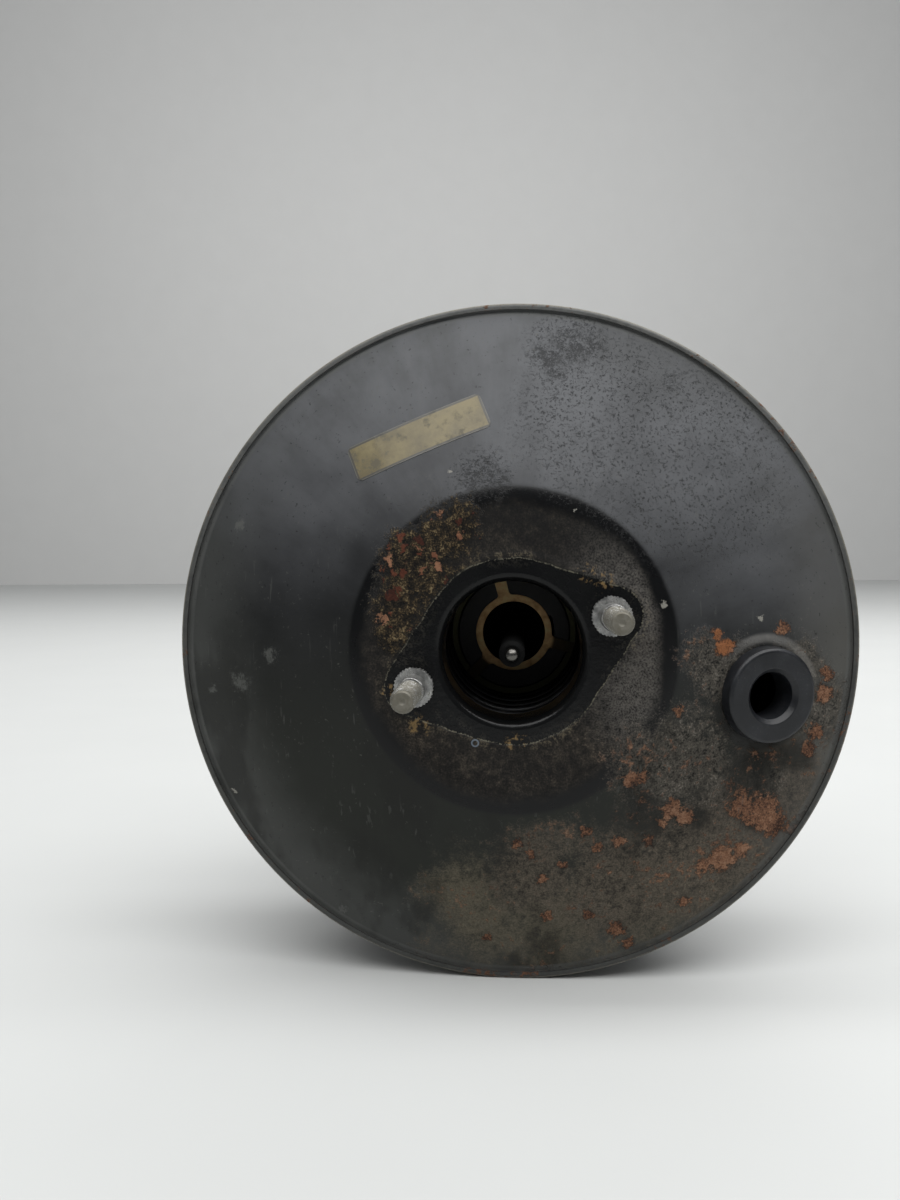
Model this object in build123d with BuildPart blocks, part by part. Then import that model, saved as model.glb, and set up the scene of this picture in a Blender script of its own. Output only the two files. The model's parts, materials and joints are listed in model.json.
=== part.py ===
from build123d import *
import os
from math import atan, cos, degrees, hypot, radians, sin, tan

# Vacuum brake booster, nine inches across, with a single diaphragm. Lengths are in millimetres.
# The Y axis is the booster's own axis, with the pedal side at +Y and +Z up.
# The bulkhead face lies at y = 0 and the master cylinder seat at y = -body_depth.
# A turned or drawn piece is a section in the XY plane, where x is the radius, revolved about Y.

os.makedirs("parts", exist_ok=True)

# Fits and clearances
press_gap = 0.05
running_gap = 0.06
seat_gap = 0.1
soft_gap = 0.3
rest_gap = 0.3
overrun = 2.0

# Front shell
body_depth = 108.0
front_sheet = 1.5
opening_radius = 23.5
opening_edge_radius = 3.0
neck_depth = 17.0
plateau_margin = 17.5
plateau_corner_radius = 17.0
flank_angle = 19.5
rim_flange_width = 2.6
rim_bend_radius = 2.0

# Rear shell and the rolled rim
rear_sheet = 1.2
rim_radius = 120.4
rim_gap = 0.4
lip_reach = 1.0
lip_bend_radius = 1.5
bead_height = 4.0
shelf_bend_radius = 2.0
chamber_step = 5.7
chamber_corner_radius = 16.0
back_flat_margin = 10.0
back_corner_radius = 14.0
back_angle = 17.8
rear_neck_radius = 25.2
rear_neck_length = 16.0
rear_neck_bend_radius = 3.0

# Front stud plate and master cylinder studs
stud_plate_thickness = 4.0
stud_plate_margin = 13.0
stud_plate_gap = 0.2
front_stud_pitch = 70.0
front_stud_angle = 20.0
front_stud_length = 34.5
stud_collar_radius = 6.8
stud_collar_height = 2.4
stud_collar_chamfer = 0.4
stud_shank_radius = 4.5
stud_shank_length = 9.0
stud_thread_radius = 4.0
stud_tip_chamfer = 1.1
stud_head_radius = 7.0
stud_head_height = 2.0

# Bulkhead plate and studs
bulkhead_plate_thickness = 2.5
bulkhead_plate_inset = 3.0
bulkhead_plate_gap = 0.4
bulkhead_pitch_x = 80.0
bulkhead_pitch_z = 60.0
bulkhead_stud_length = 24.0
bulkhead_neck_radius = 4.6
bulkhead_head_radius = 6.5
bulkhead_head_height = 1.5

# Vacuum grommet
grommet_inset = 33.4
grommet_angle = -10.0
grommet_radius = 16.5
grommet_height = 5.4
grommet_edge_radius = 1.5
grommet_bore_radius = 8.0
grommet_bore_chamfer = 1.6
grommet_groove_radius = 12.5
grommet_hole_gap = 0.2
grommet_inner_radius = 14.5
grommet_inner_height = 4.5
grommet_inner_chamfer = 1.5

# Rear neck: guide bush, seal and its retainer
tail_radius = 19.0
guide_length = 5.0
guide_front_y = 0.5
seal_length = 7.0
seal_lip_length = 2.0
seal_lip_waist = 1.2
seal_gap = 0.2
seal_retainer_thickness = 1.5
seal_retainer_clearance = 0.6

# Valve body
hub_front_stand = 22.7
hub_spring_gap = 2.0
hub_edge_chamfer = 0.6
shoulder_thickness = 5.0
shoulder_inset = 0.5
groove_radius = 25.5
groove_width = 4.5
rear_flange_gap = 0.4
rear_flange_thickness = 3.0
reaction_bore_radius = 13.7
plunger_bore_radius = 6.06
air_chamber_radius = 11.2
air_chamber_front_y = 1.5
seat_lip_width = 1.2
seat_lip_height = 1.0
tail_wall = 3.0
cavity_front_y = 8.7
tail_end_y = 62.0
tail_end_chamfer = 0.8
vacuum_slot_wall = 2.1
vacuum_slot_width = 2.2
vacuum_slot_arc = 50.0
vacuum_slot_count = 2
air_port_width = 7.0
air_port_outer_radius = 10.0

# Diaphragm plate and diaphragm
plate_sheet = 1.2
plate_fit_gap = 0.15
plate_step_clearance = 4.8
plate_step_bend_radius = 2.5
plate_wall_gap = 12.6
plate_rim_bend_radius = 6.0
plate_rim_height = 12.0
diaphragm_thickness = 1.6
back_clearance = 1.0
diaphragm_bend_radius = 2.2
diaphragm_roll_radius = 9.0
diaphragm_wall_gap = 1.2

# Output rod, its tip, the reaction disc and the retainer
reaction_disc_radius = 12.2
reaction_disc_thickness = 7.0
rod_cup_radius = 13.55
rod_cup_head = 3.0
rod_cup_skirt = 5.0
output_rod_radius = 4.25
output_rod_shoulder_radius = 9.0
output_rod_shoulder_height = 4.0
output_rod_end_chamfer = 1.2
output_rod_reach = 12.7
tip_radius = 2.2
tip_stand = 3.7
tip_shank_depth = 9.0
retainer_thickness = 1.0
retainer_inner_radius = 12.9
retainer_outer_radius = 15.8
retainer_arm_width = 4.8
retainer_arm_overhang = 1.3
retainer_arm_count = 3
retainer_arm_angle = 105.0
retainer_root_radius = 1.5

# Valve plunger and stop key
valve_travel = 1.5
plunger_radius = 6.0
plunger_neck_radius = 4.2
plunger_flange_radius = 9.6
plunger_lip_width = 1.2
plunger_lip_height = 1.6
ball_radius = 4.0
ball_centre_y = 3.2
ball_gap = 0.08
socket_mouth_radius = 3.7
key_thickness = 3.0
key_width = 12.0
key_overlap = 2.0
key_tail_reach = 17.0
key_slot_gap = 0.1
key_neck_gap = 0.3
key_corner_radius = 1.5

# Poppet valve, its spring and retainer
poppet_face_thickness = 2.5
poppet_bore_radius = 7.0
poppet_face_clearance = 2.4
poppet_wall_inner_radius = 10.2
poppet_wall_thickness = 1.2
poppet_wall_length = 7.5
poppet_bead_height = 3.0
poppet_bead_start = 9.5
poppet_bead_width = 2.5
poppet_retainer_sheet = 1.2
poppet_retainer_bore = 7.6
poppet_spring_radius = 8.7
poppet_spring_wire = 0.5
poppet_spring_turns = 3

# Input rod, its spring seat and return spring, lock nut and clevis
rod_neck_radius = 2.8
rod_neck_end_y = 13.0
rod_neck_cone = 2.0
input_rod_radius = 5.0
rod_collar_radius = 6.2
rod_collar_width = 2.0
rod_collar_inset = 3.0
rod_seat_radius = 9.8
rod_seat_sheet = 1.2
rod_seat_sleeve = 3.0
rod_spring_front_radius = 12.2
rod_spring_back_radius = 8.2
rod_spring_wire = 0.8
rod_spring_turns = 4
input_rod_reach = 119.0
rod_end_chamfer = 1.0
lock_nut_across_flats = 17.0
lock_nut_height = 6.5
lock_nut_gap = 0.5
clevis_thread_depth = 11.0
clevis_boss_length = 10.0
clevis_boss_radius = 9.0
clevis_width = 22.0
clevis_fork_gap = 10.0
clevis_height = 20.0
clevis_pin_stand = 26.0
clevis_pin_radius = 5.0
clevis_edge_chamfer = 0.8

# Air filter and silencer
filter_bore_radius = 9.3
filter_recess = 0.8
filter_length = 6.0
silencer_length = 5.0
filter_gap = 0.2

# Return spring
return_spring_gap = 0.4
return_spring_wire = 1.9
return_spring_turns = 6
wire_sides = 8

# Dust boot
boot_wall = 1.4
boot_collar_length = 5.0
boot_front_y = 9.0
boot_end_inset = 3.0
boot_fold_count = 5
boot_fold_height = 4.0

# Places that follow from the sizes above
seat_y = -body_depth
plateau_radius = front_stud_pitch / 2 + plateau_margin
flank_radius = rim_radius - rim_flange_width
chamber_radius = rim_radius - chamber_step
back_radius = hypot(bulkhead_pitch_x / 2, bulkhead_pitch_z / 2) + back_flat_margin
flank_rise = (flank_radius - plateau_radius) * tan(radians(flank_angle))
rim_y = seat_y + flank_rise
rim_back_y = rim_y + front_sheet
shelf_y = rim_back_y + bead_height
rim_inner_radius = rim_radius - rear_sheet
flange_radius = rim_inner_radius - rim_gap
lip_radius = rim_inner_radius - lip_reach
chamber_inner_radius = chamber_radius - rear_sheet
back_fall = (chamber_radius - back_radius) * tan(radians(back_angle))
neck_bore_radius = rear_neck_radius - rear_sheet
stud_plate_radius = front_stud_pitch / 2 + stud_plate_margin
bulkhead_plate_radius = back_radius - bulkhead_plate_inset
grommet_place_radius = rim_radius - grommet_inset
bulkhead_hole_radius = rear_neck_radius + rear_neck_bend_radius + bulkhead_plate_gap
key_reach = bulkhead_hole_radius + key_overlap
return_spring_radius = opening_radius + front_sheet + return_spring_gap + return_spring_wire
retainer_arm_reach = return_spring_radius + retainer_arm_overhang
plate_step_radius = return_spring_radius + return_spring_wire + plate_step_clearance
plate_rim_radius = chamber_radius - plate_wall_gap
membrane_step_radius = plate_step_radius - plate_sheet - soft_gap
hub_radius = return_spring_radius - return_spring_wire - hub_spring_gap
shoulder_radius = plate_step_radius - plate_step_bend_radius - shoulder_inset
rear_flange_radius = membrane_step_radius - diaphragm_thickness - rear_flange_gap
cavity_radius = tail_radius - tail_wall
vacuum_slot_outer_radius = tail_radius - vacuum_slot_wall
vacuum_slot_inner_radius = vacuum_slot_outer_radius - vacuum_slot_width
poppet_face_radius = cavity_radius - poppet_face_clearance
poppet_bead_inner_radius = cavity_radius - soft_gap - poppet_bead_width
stud_plate_back_y = seat_y + front_sheet + stud_plate_thickness
bulkhead_plate_front_y = -rear_sheet - bulkhead_plate_thickness
hub_front_y = -hub_front_stand
plate_back_y = hub_front_y + plate_sheet
rod_cup_front_y = hub_front_y + rest_gap
disc_front_y = rod_cup_front_y + rod_cup_head
chamber_floor_y = disc_front_y + reaction_disc_thickness
rod_tip_y = seat_y - output_rod_reach
rod_end_y = rod_tip_y + tip_stand
shoulder_back_y = plate_back_y + shoulder_thickness
groove_back_y = shoulder_back_y + groove_width
flange_back_y = groove_back_y + rear_flange_thickness
key_back_y = bulkhead_plate_front_y - rest_gap
key_front_y = key_back_y - key_thickness
lip_tip_y = cavity_front_y + seat_lip_height
poppet_face_y = lip_tip_y + rest_gap
poppet_face_back_y = poppet_face_y + poppet_face_thickness
poppet_bead_y = poppet_face_y + poppet_face_thickness + poppet_bead_start
poppet_retainer_y = poppet_bead_y + poppet_bead_height
poppet_retainer_back_y = poppet_retainer_y + poppet_retainer_sheet
seal_front_y = guide_front_y + guide_length + seal_gap
seal_back_y = seal_front_y + seal_length
seal_retainer_front_y = seal_back_y + seal_gap
silencer_front_y = tail_end_y - filter_recess - silencer_length
filter_front_y = silencer_front_y - filter_gap - filter_length
rod_collar_y = filter_front_y - rod_collar_inset - rod_collar_width
clevis_front_y = input_rod_reach - clevis_thread_depth
clevis_pin_y = clevis_front_y + clevis_pin_stand
boot_back_y = tail_end_y - boot_end_inset
rod_seat_y = rod_collar_y - rod_seat_sleeve - rod_seat_sheet
stack = bulkhead_plate_thickness + bulkhead_head_height + back_clearance + diaphragm_thickness
dish_front_y = -rear_sheet - stack - soft_gap - plate_sheet


def flank_direction():
    """The unit vectors of the vacuum port: outward from the axis, along the rim, and out of the flank."""
    out = Vector(cos(radians(grommet_angle)), 0, sin(radians(grommet_angle)))
    along = Vector(-sin(radians(grommet_angle)), 0, cos(radians(grommet_angle)))
    normal = out * sin(radians(flank_angle)) + Vector(0, -1, 0) * cos(radians(flank_angle))
    return out, along, normal


port_out, port_along, port_normal = flank_direction()
port_rise = (grommet_place_radius - plateau_radius) * tan(radians(flank_angle))
port_centre = port_out * grommet_place_radius + Vector(0, seat_y + port_rise, 0)
port_plane = Plane(origin=port_centre, x_dir=port_along, z_dir=port_normal)
port_section = Plane(origin=port_centre, x_dir=port_along, z_dir=port_along.cross(port_normal))
port_axis = Axis(port_centre, port_normal)


def coil(front_radius, back_radius, wire, front_y, back_y, turns):
    """A coil spring about the booster's axis, between two faces. Its wire has a few flats, to stay light."""
    height = back_y - front_y - wire - wire
    lean = (back_radius - front_radius) / height
    with BuildPart() as spring:
        with BuildLine() as path:
            Helix(
                pitch=height / turns,
                height=height,
                radius=front_radius,
                center=(0, front_y + wire, 0),
                direction=(0, 1, 0),
                cone_angle=degrees(atan(lean)),
            )
        with BuildSketch(Plane(origin=path.line @ 0, z_dir=path.line % 0)):
            RegularPolygon(wire, wire_sides)
        sweep(is_frenet=True)
    return spring


def front_stud_places():
    """The two master cylinder studs, on one line through the axis, as planes that face forward."""
    for turn in (front_stud_angle, front_stud_angle + 180):
        reach = front_stud_pitch / 2
        yield (reach * cos(radians(turn)), reach * sin(radians(turn)))


# Front shell: one drawn sheet from the neck over the plateau and the flank to the rim flange
with BuildPart() as front_shell:
    with BuildSketch(Plane.XY):
        with BuildLine():
            FilletPolyline(
                (opening_radius, seat_y + neck_depth),
                (opening_radius, seat_y),
                (plateau_radius, seat_y),
                (flank_radius, rim_y),
                (flange_radius, rim_y),
                radius=[opening_edge_radius, plateau_corner_radius, rim_bend_radius],
            )
            offset(amount=front_sheet, side=Side.LEFT)
        make_face()
    revolve(axis=Axis.Y)
    with BuildSketch(Plane.XZ.offset(-seat_y - front_sheet - overrun)):
        with Locations(*front_stud_places()):
            Circle(stud_shank_radius + press_gap)
    extrude(amount=front_sheet + overrun + overrun, mode=Mode.SUBTRACT)
    with BuildSketch(port_plane.offset(-front_sheet - overrun)):
        Circle(grommet_groove_radius + grommet_hole_gap)
    extrude(amount=front_sheet + overrun + overrun, mode=Mode.SUBTRACT)
front_shell.part.label = "front_shell"
export_step(front_shell.part, "parts/front_shell.step")

# Rear shell: its lip is rolled over the front shell's flange, and its centre is drawn out to a neck
with BuildPart() as rear_shell:
    with BuildSketch(Plane.XY):
        with BuildLine():
            FilletPolyline(
                (lip_radius, rim_y - rear_sheet),
                (rim_radius, rim_y - rear_sheet),
                (rim_radius, shelf_y + rear_sheet),
                (chamber_radius, shelf_y + rear_sheet),
                (chamber_radius, -back_fall),
                (back_radius, 0),
                (rear_neck_radius, 0),
                (rear_neck_radius, rear_neck_length),
                radius=[
                    lip_bend_radius,
                    lip_bend_radius,
                    shelf_bend_radius,
                    chamber_corner_radius,
                    back_corner_radius,
                    rear_neck_bend_radius,
                ],
            )
            offset(amount=rear_sheet, side=Side.LEFT)
        make_face()
    revolve(axis=Axis.Y)
    with BuildSketch(Plane.XZ.offset(rear_sheet + overrun)):
        with GridLocations(bulkhead_pitch_x, bulkhead_pitch_z, 2, 2):
            Circle(bulkhead_neck_radius + press_gap)
    extrude(amount=-rear_sheet - overrun - overrun, mode=Mode.SUBTRACT)
rear_shell.part.label = "rear_shell"
export_step(rear_shell.part, "parts/rear_shell.step")

# Stud plate: stiffens the plateau from inside and holds the flush heads of the two studs
with BuildPart() as stud_plate:
    with BuildSketch(Plane.XZ.offset(-stud_plate_back_y)):
        Circle(stud_plate_radius)
        Circle(opening_radius + opening_edge_radius + stud_plate_gap, mode=Mode.SUBTRACT)
    extrude(amount=stud_plate_thickness)
    with BuildSketch(Plane.XZ.offset(-stud_plate_back_y)):
        with Locations(*front_stud_places()):
            Circle(stud_shank_radius + press_gap)
    extrude(amount=stud_plate_thickness, mode=Mode.SUBTRACT)
    with BuildSketch(Plane.XZ.offset(-stud_plate_back_y)):
        with Locations(*front_stud_places()):
            Circle(stud_head_radius + press_gap)
    extrude(amount=stud_head_height, mode=Mode.SUBTRACT)
stud_plate.part.label = "stud_plate"
export_step(stud_plate.part, "parts/stud_plate.step")

# Master cylinder studs: head, neck through plate and shell, collar, shank and thread
shank_end = stud_collar_height + stud_shank_length
plate_and_sheet = stud_plate_thickness + front_sheet
with BuildPart() as master_cylinder_studs:
    with BuildSketch(Plane.XZ.offset(-stud_plate_back_y)):
        with Locations(*front_stud_places()):
            Circle(stud_head_radius)
    extrude(amount=stud_head_height)
    with BuildSketch(Plane.XZ.offset(-stud_plate_back_y)):
        with Locations(*front_stud_places()):
            Circle(stud_shank_radius)
    extrude(amount=plate_and_sheet + shank_end)
    with BuildSketch(Plane.XZ.offset(body_depth)):
        with Locations(*front_stud_places()):
            Circle(stud_collar_radius)
    extrude(amount=stud_collar_height)
    chamfer(
        edges().filter_by(GeomType.CIRCLE).filter_by(
            lambda edge: abs(edge.radius - stud_collar_radius) < press_gap
        ).group_by(Axis.Y)[0],
        length=stud_collar_chamfer,
    )
    with BuildSketch(Plane.XZ.offset(body_depth + shank_end)):
        with Locations(*front_stud_places()):
            Circle(stud_thread_radius)
    extrude(amount=front_stud_length - shank_end)
    chamfer(edges().filter_by(GeomType.CIRCLE).group_by(Axis.Y)[0], length=stud_tip_chamfer)
master_cylinder_studs.part.label = "master_cylinder_studs"
export_step(master_cylinder_studs.part, "parts/master_cylinder_studs.step")

# Bulkhead plate: stiffens the rear shell from inside, under the four bulkhead studs
with BuildPart() as bulkhead_plate:
    with BuildSketch(Plane.XZ.offset(-bulkhead_plate_front_y)):
        Circle(bulkhead_plate_radius)
        Circle(bulkhead_hole_radius, mode=Mode.SUBTRACT)
        with GridLocations(bulkhead_pitch_x, bulkhead_pitch_z, 2, 2):
            Circle(bulkhead_neck_radius + press_gap, mode=Mode.SUBTRACT)
    extrude(amount=-bulkhead_plate_thickness)
bulkhead_plate.part.label = "bulkhead_plate"
export_step(bulkhead_plate.part, "parts/bulkhead_plate.step")

# Bulkhead studs: four flat-headed studs pressed in from inside, thinner outside where the thread is
with BuildPart() as bulkhead_studs:
    with BuildSketch(Plane.XZ.offset(-bulkhead_plate_front_y)):
        with GridLocations(bulkhead_pitch_x, bulkhead_pitch_z, 2, 2):
            Circle(bulkhead_head_radius)
    extrude(amount=bulkhead_head_height)
    with BuildSketch(Plane.XZ):
        with GridLocations(bulkhead_pitch_x, bulkhead_pitch_z, 2, 2):
            Circle(bulkhead_neck_radius)
    extrude(amount=-bulkhead_plate_front_y)
    with BuildSketch(Plane.XZ):
        with GridLocations(bulkhead_pitch_x, bulkhead_pitch_z, 2, 2):
            Circle(stud_thread_radius)
    extrude(amount=-bulkhead_stud_length)
    chamfer(edges().filter_by(GeomType.CIRCLE).group_by(Axis.Y)[-1], length=stud_tip_chamfer)
bulkhead_studs.part.label = "bulkhead_studs"
export_step(bulkhead_studs.part, "parts/bulkhead_studs.step")

# Vacuum grommet: turned about the port's own axis, with the flank's sheet cut out as its groove
with BuildPart() as vacuum_grommet:
    with BuildSketch(port_section):
        with BuildLine():
            Polyline(
                (grommet_bore_radius, -front_sheet - grommet_inner_height),
                (grommet_inner_radius - grommet_inner_chamfer, -front_sheet - grommet_inner_height),
                (grommet_inner_radius, -front_sheet - grommet_inner_height + grommet_inner_chamfer),
                (grommet_inner_radius, -front_sheet),
                (grommet_radius, -front_sheet / 2),
                (grommet_radius, grommet_height - grommet_edge_radius),
            )
            TangentArc(
                (grommet_radius, grommet_height - grommet_edge_radius),
                (grommet_radius - grommet_edge_radius, grommet_height),
                tangent=(0, 1),
            )
            Polyline(
                (grommet_radius - grommet_edge_radius, grommet_height),
                (grommet_bore_radius + grommet_bore_chamfer, grommet_height),
                (grommet_bore_radius, grommet_height - grommet_bore_chamfer),
                (grommet_bore_radius, -front_sheet - grommet_inner_height),
            )
        make_face()
    revolve(axis=port_axis)
    with BuildSketch(Plane.XY):
        with BuildLine():
            FilletPolyline(
                (opening_radius, seat_y - seat_gap),
                (plateau_radius, seat_y - seat_gap),
                (flank_radius, rim_y - seat_gap),
                radius=plateau_corner_radius,
            )
            offset(amount=front_sheet + seat_gap + seat_gap, side=Side.LEFT)
        make_face()
    flank_band = revolve(axis=Axis.Y, mode=Mode.PRIVATE)
    with BuildSketch(port_plane.offset(-front_sheet - overrun)):
        Circle(grommet_groove_radius)
    groove_core = extrude(amount=front_sheet + overrun + overrun, mode=Mode.PRIVATE)
    add(flank_band - groove_core, mode=Mode.SUBTRACT)
vacuum_grommet.part.label = "vacuum_grommet"
export_step(vacuum_grommet.part, "parts/vacuum_grommet.step")

# Guide bush: the plastic ring that the valve body's tail slides in
with BuildPart() as guide_bush:
    with BuildSketch(Plane.XZ.offset(-guide_front_y)):
        Circle(neck_bore_radius - press_gap)
        Circle(tail_radius + running_gap, mode=Mode.SUBTRACT)
    extrude(amount=-guide_length)
    chamfer(edges().filter_by(GeomType.CIRCLE).group_by(SortBy.RADIUS)[-1], length=stud_collar_chamfer)
guide_bush.part.label = "guide_bush"
export_step(guide_bush.part, "parts/guide_bush.step")

# Neck seal: a rubber lip seal with a hollow on the air side
with BuildPart() as neck_seal:
    with BuildSketch(Plane.XY):
        with BuildLine():
            Polyline(
                (neck_bore_radius - soft_gap, seal_front_y),
                (neck_bore_radius - soft_gap, seal_back_y),
                (neck_bore_radius - soft_gap - seal_lip_waist, seal_back_y),
                (neck_bore_radius - soft_gap - seal_lip_waist, seal_front_y + seal_lip_length),
                (tail_radius + soft_gap + seal_lip_waist, seal_front_y + seal_lip_length),
                (tail_radius + soft_gap + seal_lip_waist, seal_back_y - seal_lip_length),
                (tail_radius + soft_gap, seal_back_y),
                (tail_radius + soft_gap, seal_back_y - seal_lip_length),
                (tail_radius + soft_gap + seal_lip_waist / 2, seal_front_y),
                (neck_bore_radius - soft_gap, seal_front_y),
            )
        make_face()
    revolve(axis=Axis.Y)
neck_seal.part.label = "neck_seal"
export_step(neck_seal.part, "parts/neck_seal.step")

# Seal retainer: the pressed steel ring that keeps seal and bush in the neck
with BuildPart() as seal_retainer:
    with BuildSketch(Plane.XZ.offset(-seal_retainer_front_y)):
        Circle(neck_bore_radius - press_gap)
        Circle(tail_radius + seal_retainer_clearance, mode=Mode.SUBTRACT)
    extrude(amount=-seal_retainer_thickness)
seal_retainer.part.label = "seal_retainer"
export_step(seal_retainer.part, "parts/seal_retainer.step")

# Valve body: hub, flanges and tail as one moulding, with the valve's bores inside
with BuildPart() as valve_body:
    with BuildSketch(Plane.XY):
        with BuildLine():
            Polyline(
                (reaction_bore_radius, hub_front_y),
                (hub_radius - hub_edge_chamfer, hub_front_y),
                (hub_radius, hub_front_y + hub_edge_chamfer),
                (hub_radius, plate_back_y),
                (shoulder_radius, plate_back_y),
                (shoulder_radius, shoulder_back_y),
                (groove_radius, shoulder_back_y),
                (groove_radius, groove_back_y),
                (rear_flange_radius, groove_back_y),
                (rear_flange_radius, flange_back_y),
                (tail_radius, flange_back_y),
                (tail_radius, tail_end_y - tail_end_chamfer),
                (tail_radius - tail_end_chamfer, tail_end_y),
                (cavity_radius, tail_end_y),
                (cavity_radius, cavity_front_y),
                (air_chamber_radius + seat_lip_width, cavity_front_y),
                (air_chamber_radius + seat_lip_width / 2, lip_tip_y),
                (air_chamber_radius, cavity_front_y),
                (air_chamber_radius, air_chamber_front_y),
                (plunger_bore_radius, air_chamber_front_y),
                (plunger_bore_radius, chamber_floor_y),
                (reaction_bore_radius, chamber_floor_y),
                close=True,
            )
        make_face()
    revolve(axis=Axis.Y)
    with BuildSketch(Plane.XZ.offset(-hub_front_y + overrun)):
        with PolarLocations(0, vacuum_slot_count, start_angle=front_stud_angle):
            with BuildLine():
                half = vacuum_slot_arc / 2
                outer = CenterArc((0, 0), vacuum_slot_outer_radius, -half, vacuum_slot_arc)
                inner = CenterArc((0, 0), vacuum_slot_inner_radius, -half, vacuum_slot_arc)
                Line(outer @ 0, inner @ 0)
                Line(outer @ 1, inner @ 1)
            make_face()
    extrude(amount=-(cavity_front_y - hub_front_y + overrun), mode=Mode.SUBTRACT)
    with BuildSketch(Plane.XZ.offset(-key_back_y - key_slot_gap)):
        Rectangle(key_width + key_slot_gap + key_slot_gap, key_reach + key_reach)
    extrude(amount=key_thickness + key_slot_gap + key_slot_gap, mode=Mode.SUBTRACT)
    with BuildSketch(Plane.XZ.offset(-air_chamber_front_y - overrun)):
        with Locations((0, (air_port_outer_radius + plunger_radius) / 2)):
            Rectangle(air_port_width, air_port_outer_radius - plunger_radius)
    extrude(amount=air_chamber_front_y + overrun - key_back_y, mode=Mode.SUBTRACT)
valve_body.part.label = "valve_body"
export_step(valve_body.part, "parts/valve_body.step")

# Diaphragm plate: a drawn steel dish that sits on the valve body's shoulder
with BuildPart() as diaphragm_plate:
    with BuildSketch(Plane.XY):
        with BuildLine():
            plate_fall = (plate_rim_radius - back_radius) * tan(radians(back_angle))
            FilletPolyline(
                (hub_radius + plate_fit_gap, hub_front_y),
                (plate_step_radius, hub_front_y),
                (plate_step_radius, dish_front_y),
                (back_radius, dish_front_y),
                (plate_rim_radius, dish_front_y - plate_fall),
                (plate_rim_radius, dish_front_y - plate_fall - plate_rim_height),
                radius=[
                    plate_step_bend_radius,
                    plate_step_bend_radius,
                    back_corner_radius,
                    plate_rim_bend_radius,
                ],
            )
            offset(amount=plate_sheet, side=Side.LEFT)
        make_face()
    revolve(axis=Axis.Y)
diaphragm_plate.part.label = "diaphragm_plate"
export_step(diaphragm_plate.part, "parts/diaphragm_plate.step")

# Diaphragm: beads at the hub and in the rolled rim, and a thin wall that rolls along the chamber
membrane_front_y = dish_front_y + plate_sheet + soft_gap
membrane_wall_radius = chamber_inner_radius - diaphragm_wall_gap - diaphragm_thickness
membrane_fall = (membrane_wall_radius - back_radius) * tan(radians(back_angle))
groove_middle_y = (shoulder_back_y + groove_back_y) / 2
with BuildPart() as diaphragm:
    with BuildSketch(Plane.XY):
        with BuildLine():
            FilletPolyline(
                ((groove_radius + rear_flange_radius) / 2, groove_middle_y - diaphragm_thickness / 2),
                (membrane_step_radius, groove_middle_y - diaphragm_thickness / 2),
                (membrane_step_radius, membrane_front_y),
                (back_radius, membrane_front_y),
                (membrane_wall_radius, membrane_front_y - membrane_fall),
                (membrane_wall_radius, shelf_y - seat_gap),
                radius=[
                    diaphragm_bend_radius,
                    diaphragm_bend_radius,
                    back_corner_radius,
                    diaphragm_roll_radius,
                ],
            )
            offset(amount=diaphragm_thickness, side=Side.LEFT)
        make_face()
        with Locations(((groove_radius + rear_flange_radius) / 2, groove_middle_y)):
            Rectangle(
                rear_flange_radius - groove_radius - soft_gap - soft_gap,
                groove_width - soft_gap - soft_gap,
            )
        with BuildLine():
            Polyline(
                (membrane_wall_radius, shelf_y - seat_gap),
                (flange_radius, shelf_y - seat_gap),
                (flange_radius, rim_back_y + seat_gap),
                (membrane_wall_radius, rim_back_y + seat_gap),
                close=True,
            )
        make_face()
    revolve(axis=Axis.Y)
diaphragm.part.label = "diaphragm"
export_step(diaphragm.part, "parts/diaphragm.step")

# Pushrod retainer: a flat ring with three arms that the return spring's last turn holds down
with BuildPart() as pushrod_retainer:
    with BuildSketch(Plane.XZ.offset(-hub_front_y)):
        Circle(retainer_outer_radius)
        with PolarLocations(0, retainer_arm_count, start_angle=retainer_arm_angle):
            with Locations((retainer_arm_reach / 2, 0)):
                Rectangle(retainer_arm_reach, retainer_arm_width)
        Circle(retainer_inner_radius, mode=Mode.SUBTRACT)
    extrude(amount=retainer_thickness)
    fillet(
        edges().filter_by(Axis.Y).filter_by(
            lambda edge: hypot(edge.center().X, edge.center().Z) < retainer_outer_radius + press_gap
        ),
        radius=retainer_root_radius,
    )
pushrod_retainer.part.label = "pushrod_retainer"
export_step(pushrod_retainer.part, "parts/pushrod_retainer.step")

# Reaction disc: the rubber puck between the valve body and the output rod
with BuildPart() as reaction_disc:
    with BuildSketch(Plane.XZ.offset(-chamber_floor_y)):
        Circle(reaction_disc_radius)
    extrude(amount=reaction_disc_thickness)
reaction_disc.part.label = "reaction_disc"
export_step(reaction_disc.part, "parts/reaction_disc.step")

# Output rod: a cup over the reaction disc, a long shaft and a bore for the tip
with BuildPart() as output_rod:
    with BuildSketch(Plane.XY):
        with BuildLine():
            Polyline(
                (0, disc_front_y),
                (reaction_disc_radius + press_gap, disc_front_y),
                (reaction_disc_radius + press_gap, disc_front_y + rod_cup_skirt),
                (rod_cup_radius, disc_front_y + rod_cup_skirt),
                (rod_cup_radius, rod_cup_front_y),
                (output_rod_shoulder_radius, rod_cup_front_y),
                (output_rod_radius, rod_cup_front_y - output_rod_shoulder_height),
                (output_rod_radius, rod_end_y + output_rod_end_chamfer),
                (output_rod_radius - output_rod_end_chamfer, rod_end_y),
                (tip_radius + press_gap, rod_end_y),
                (tip_radius + press_gap, rod_end_y + tip_shank_depth),
                (0, rod_end_y + tip_shank_depth),
                close=True,
            )
        make_face()
    revolve(axis=Axis.Y)
output_rod.part.label = "output_rod"
export_step(output_rod.part, "parts/output_rod.step")

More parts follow.
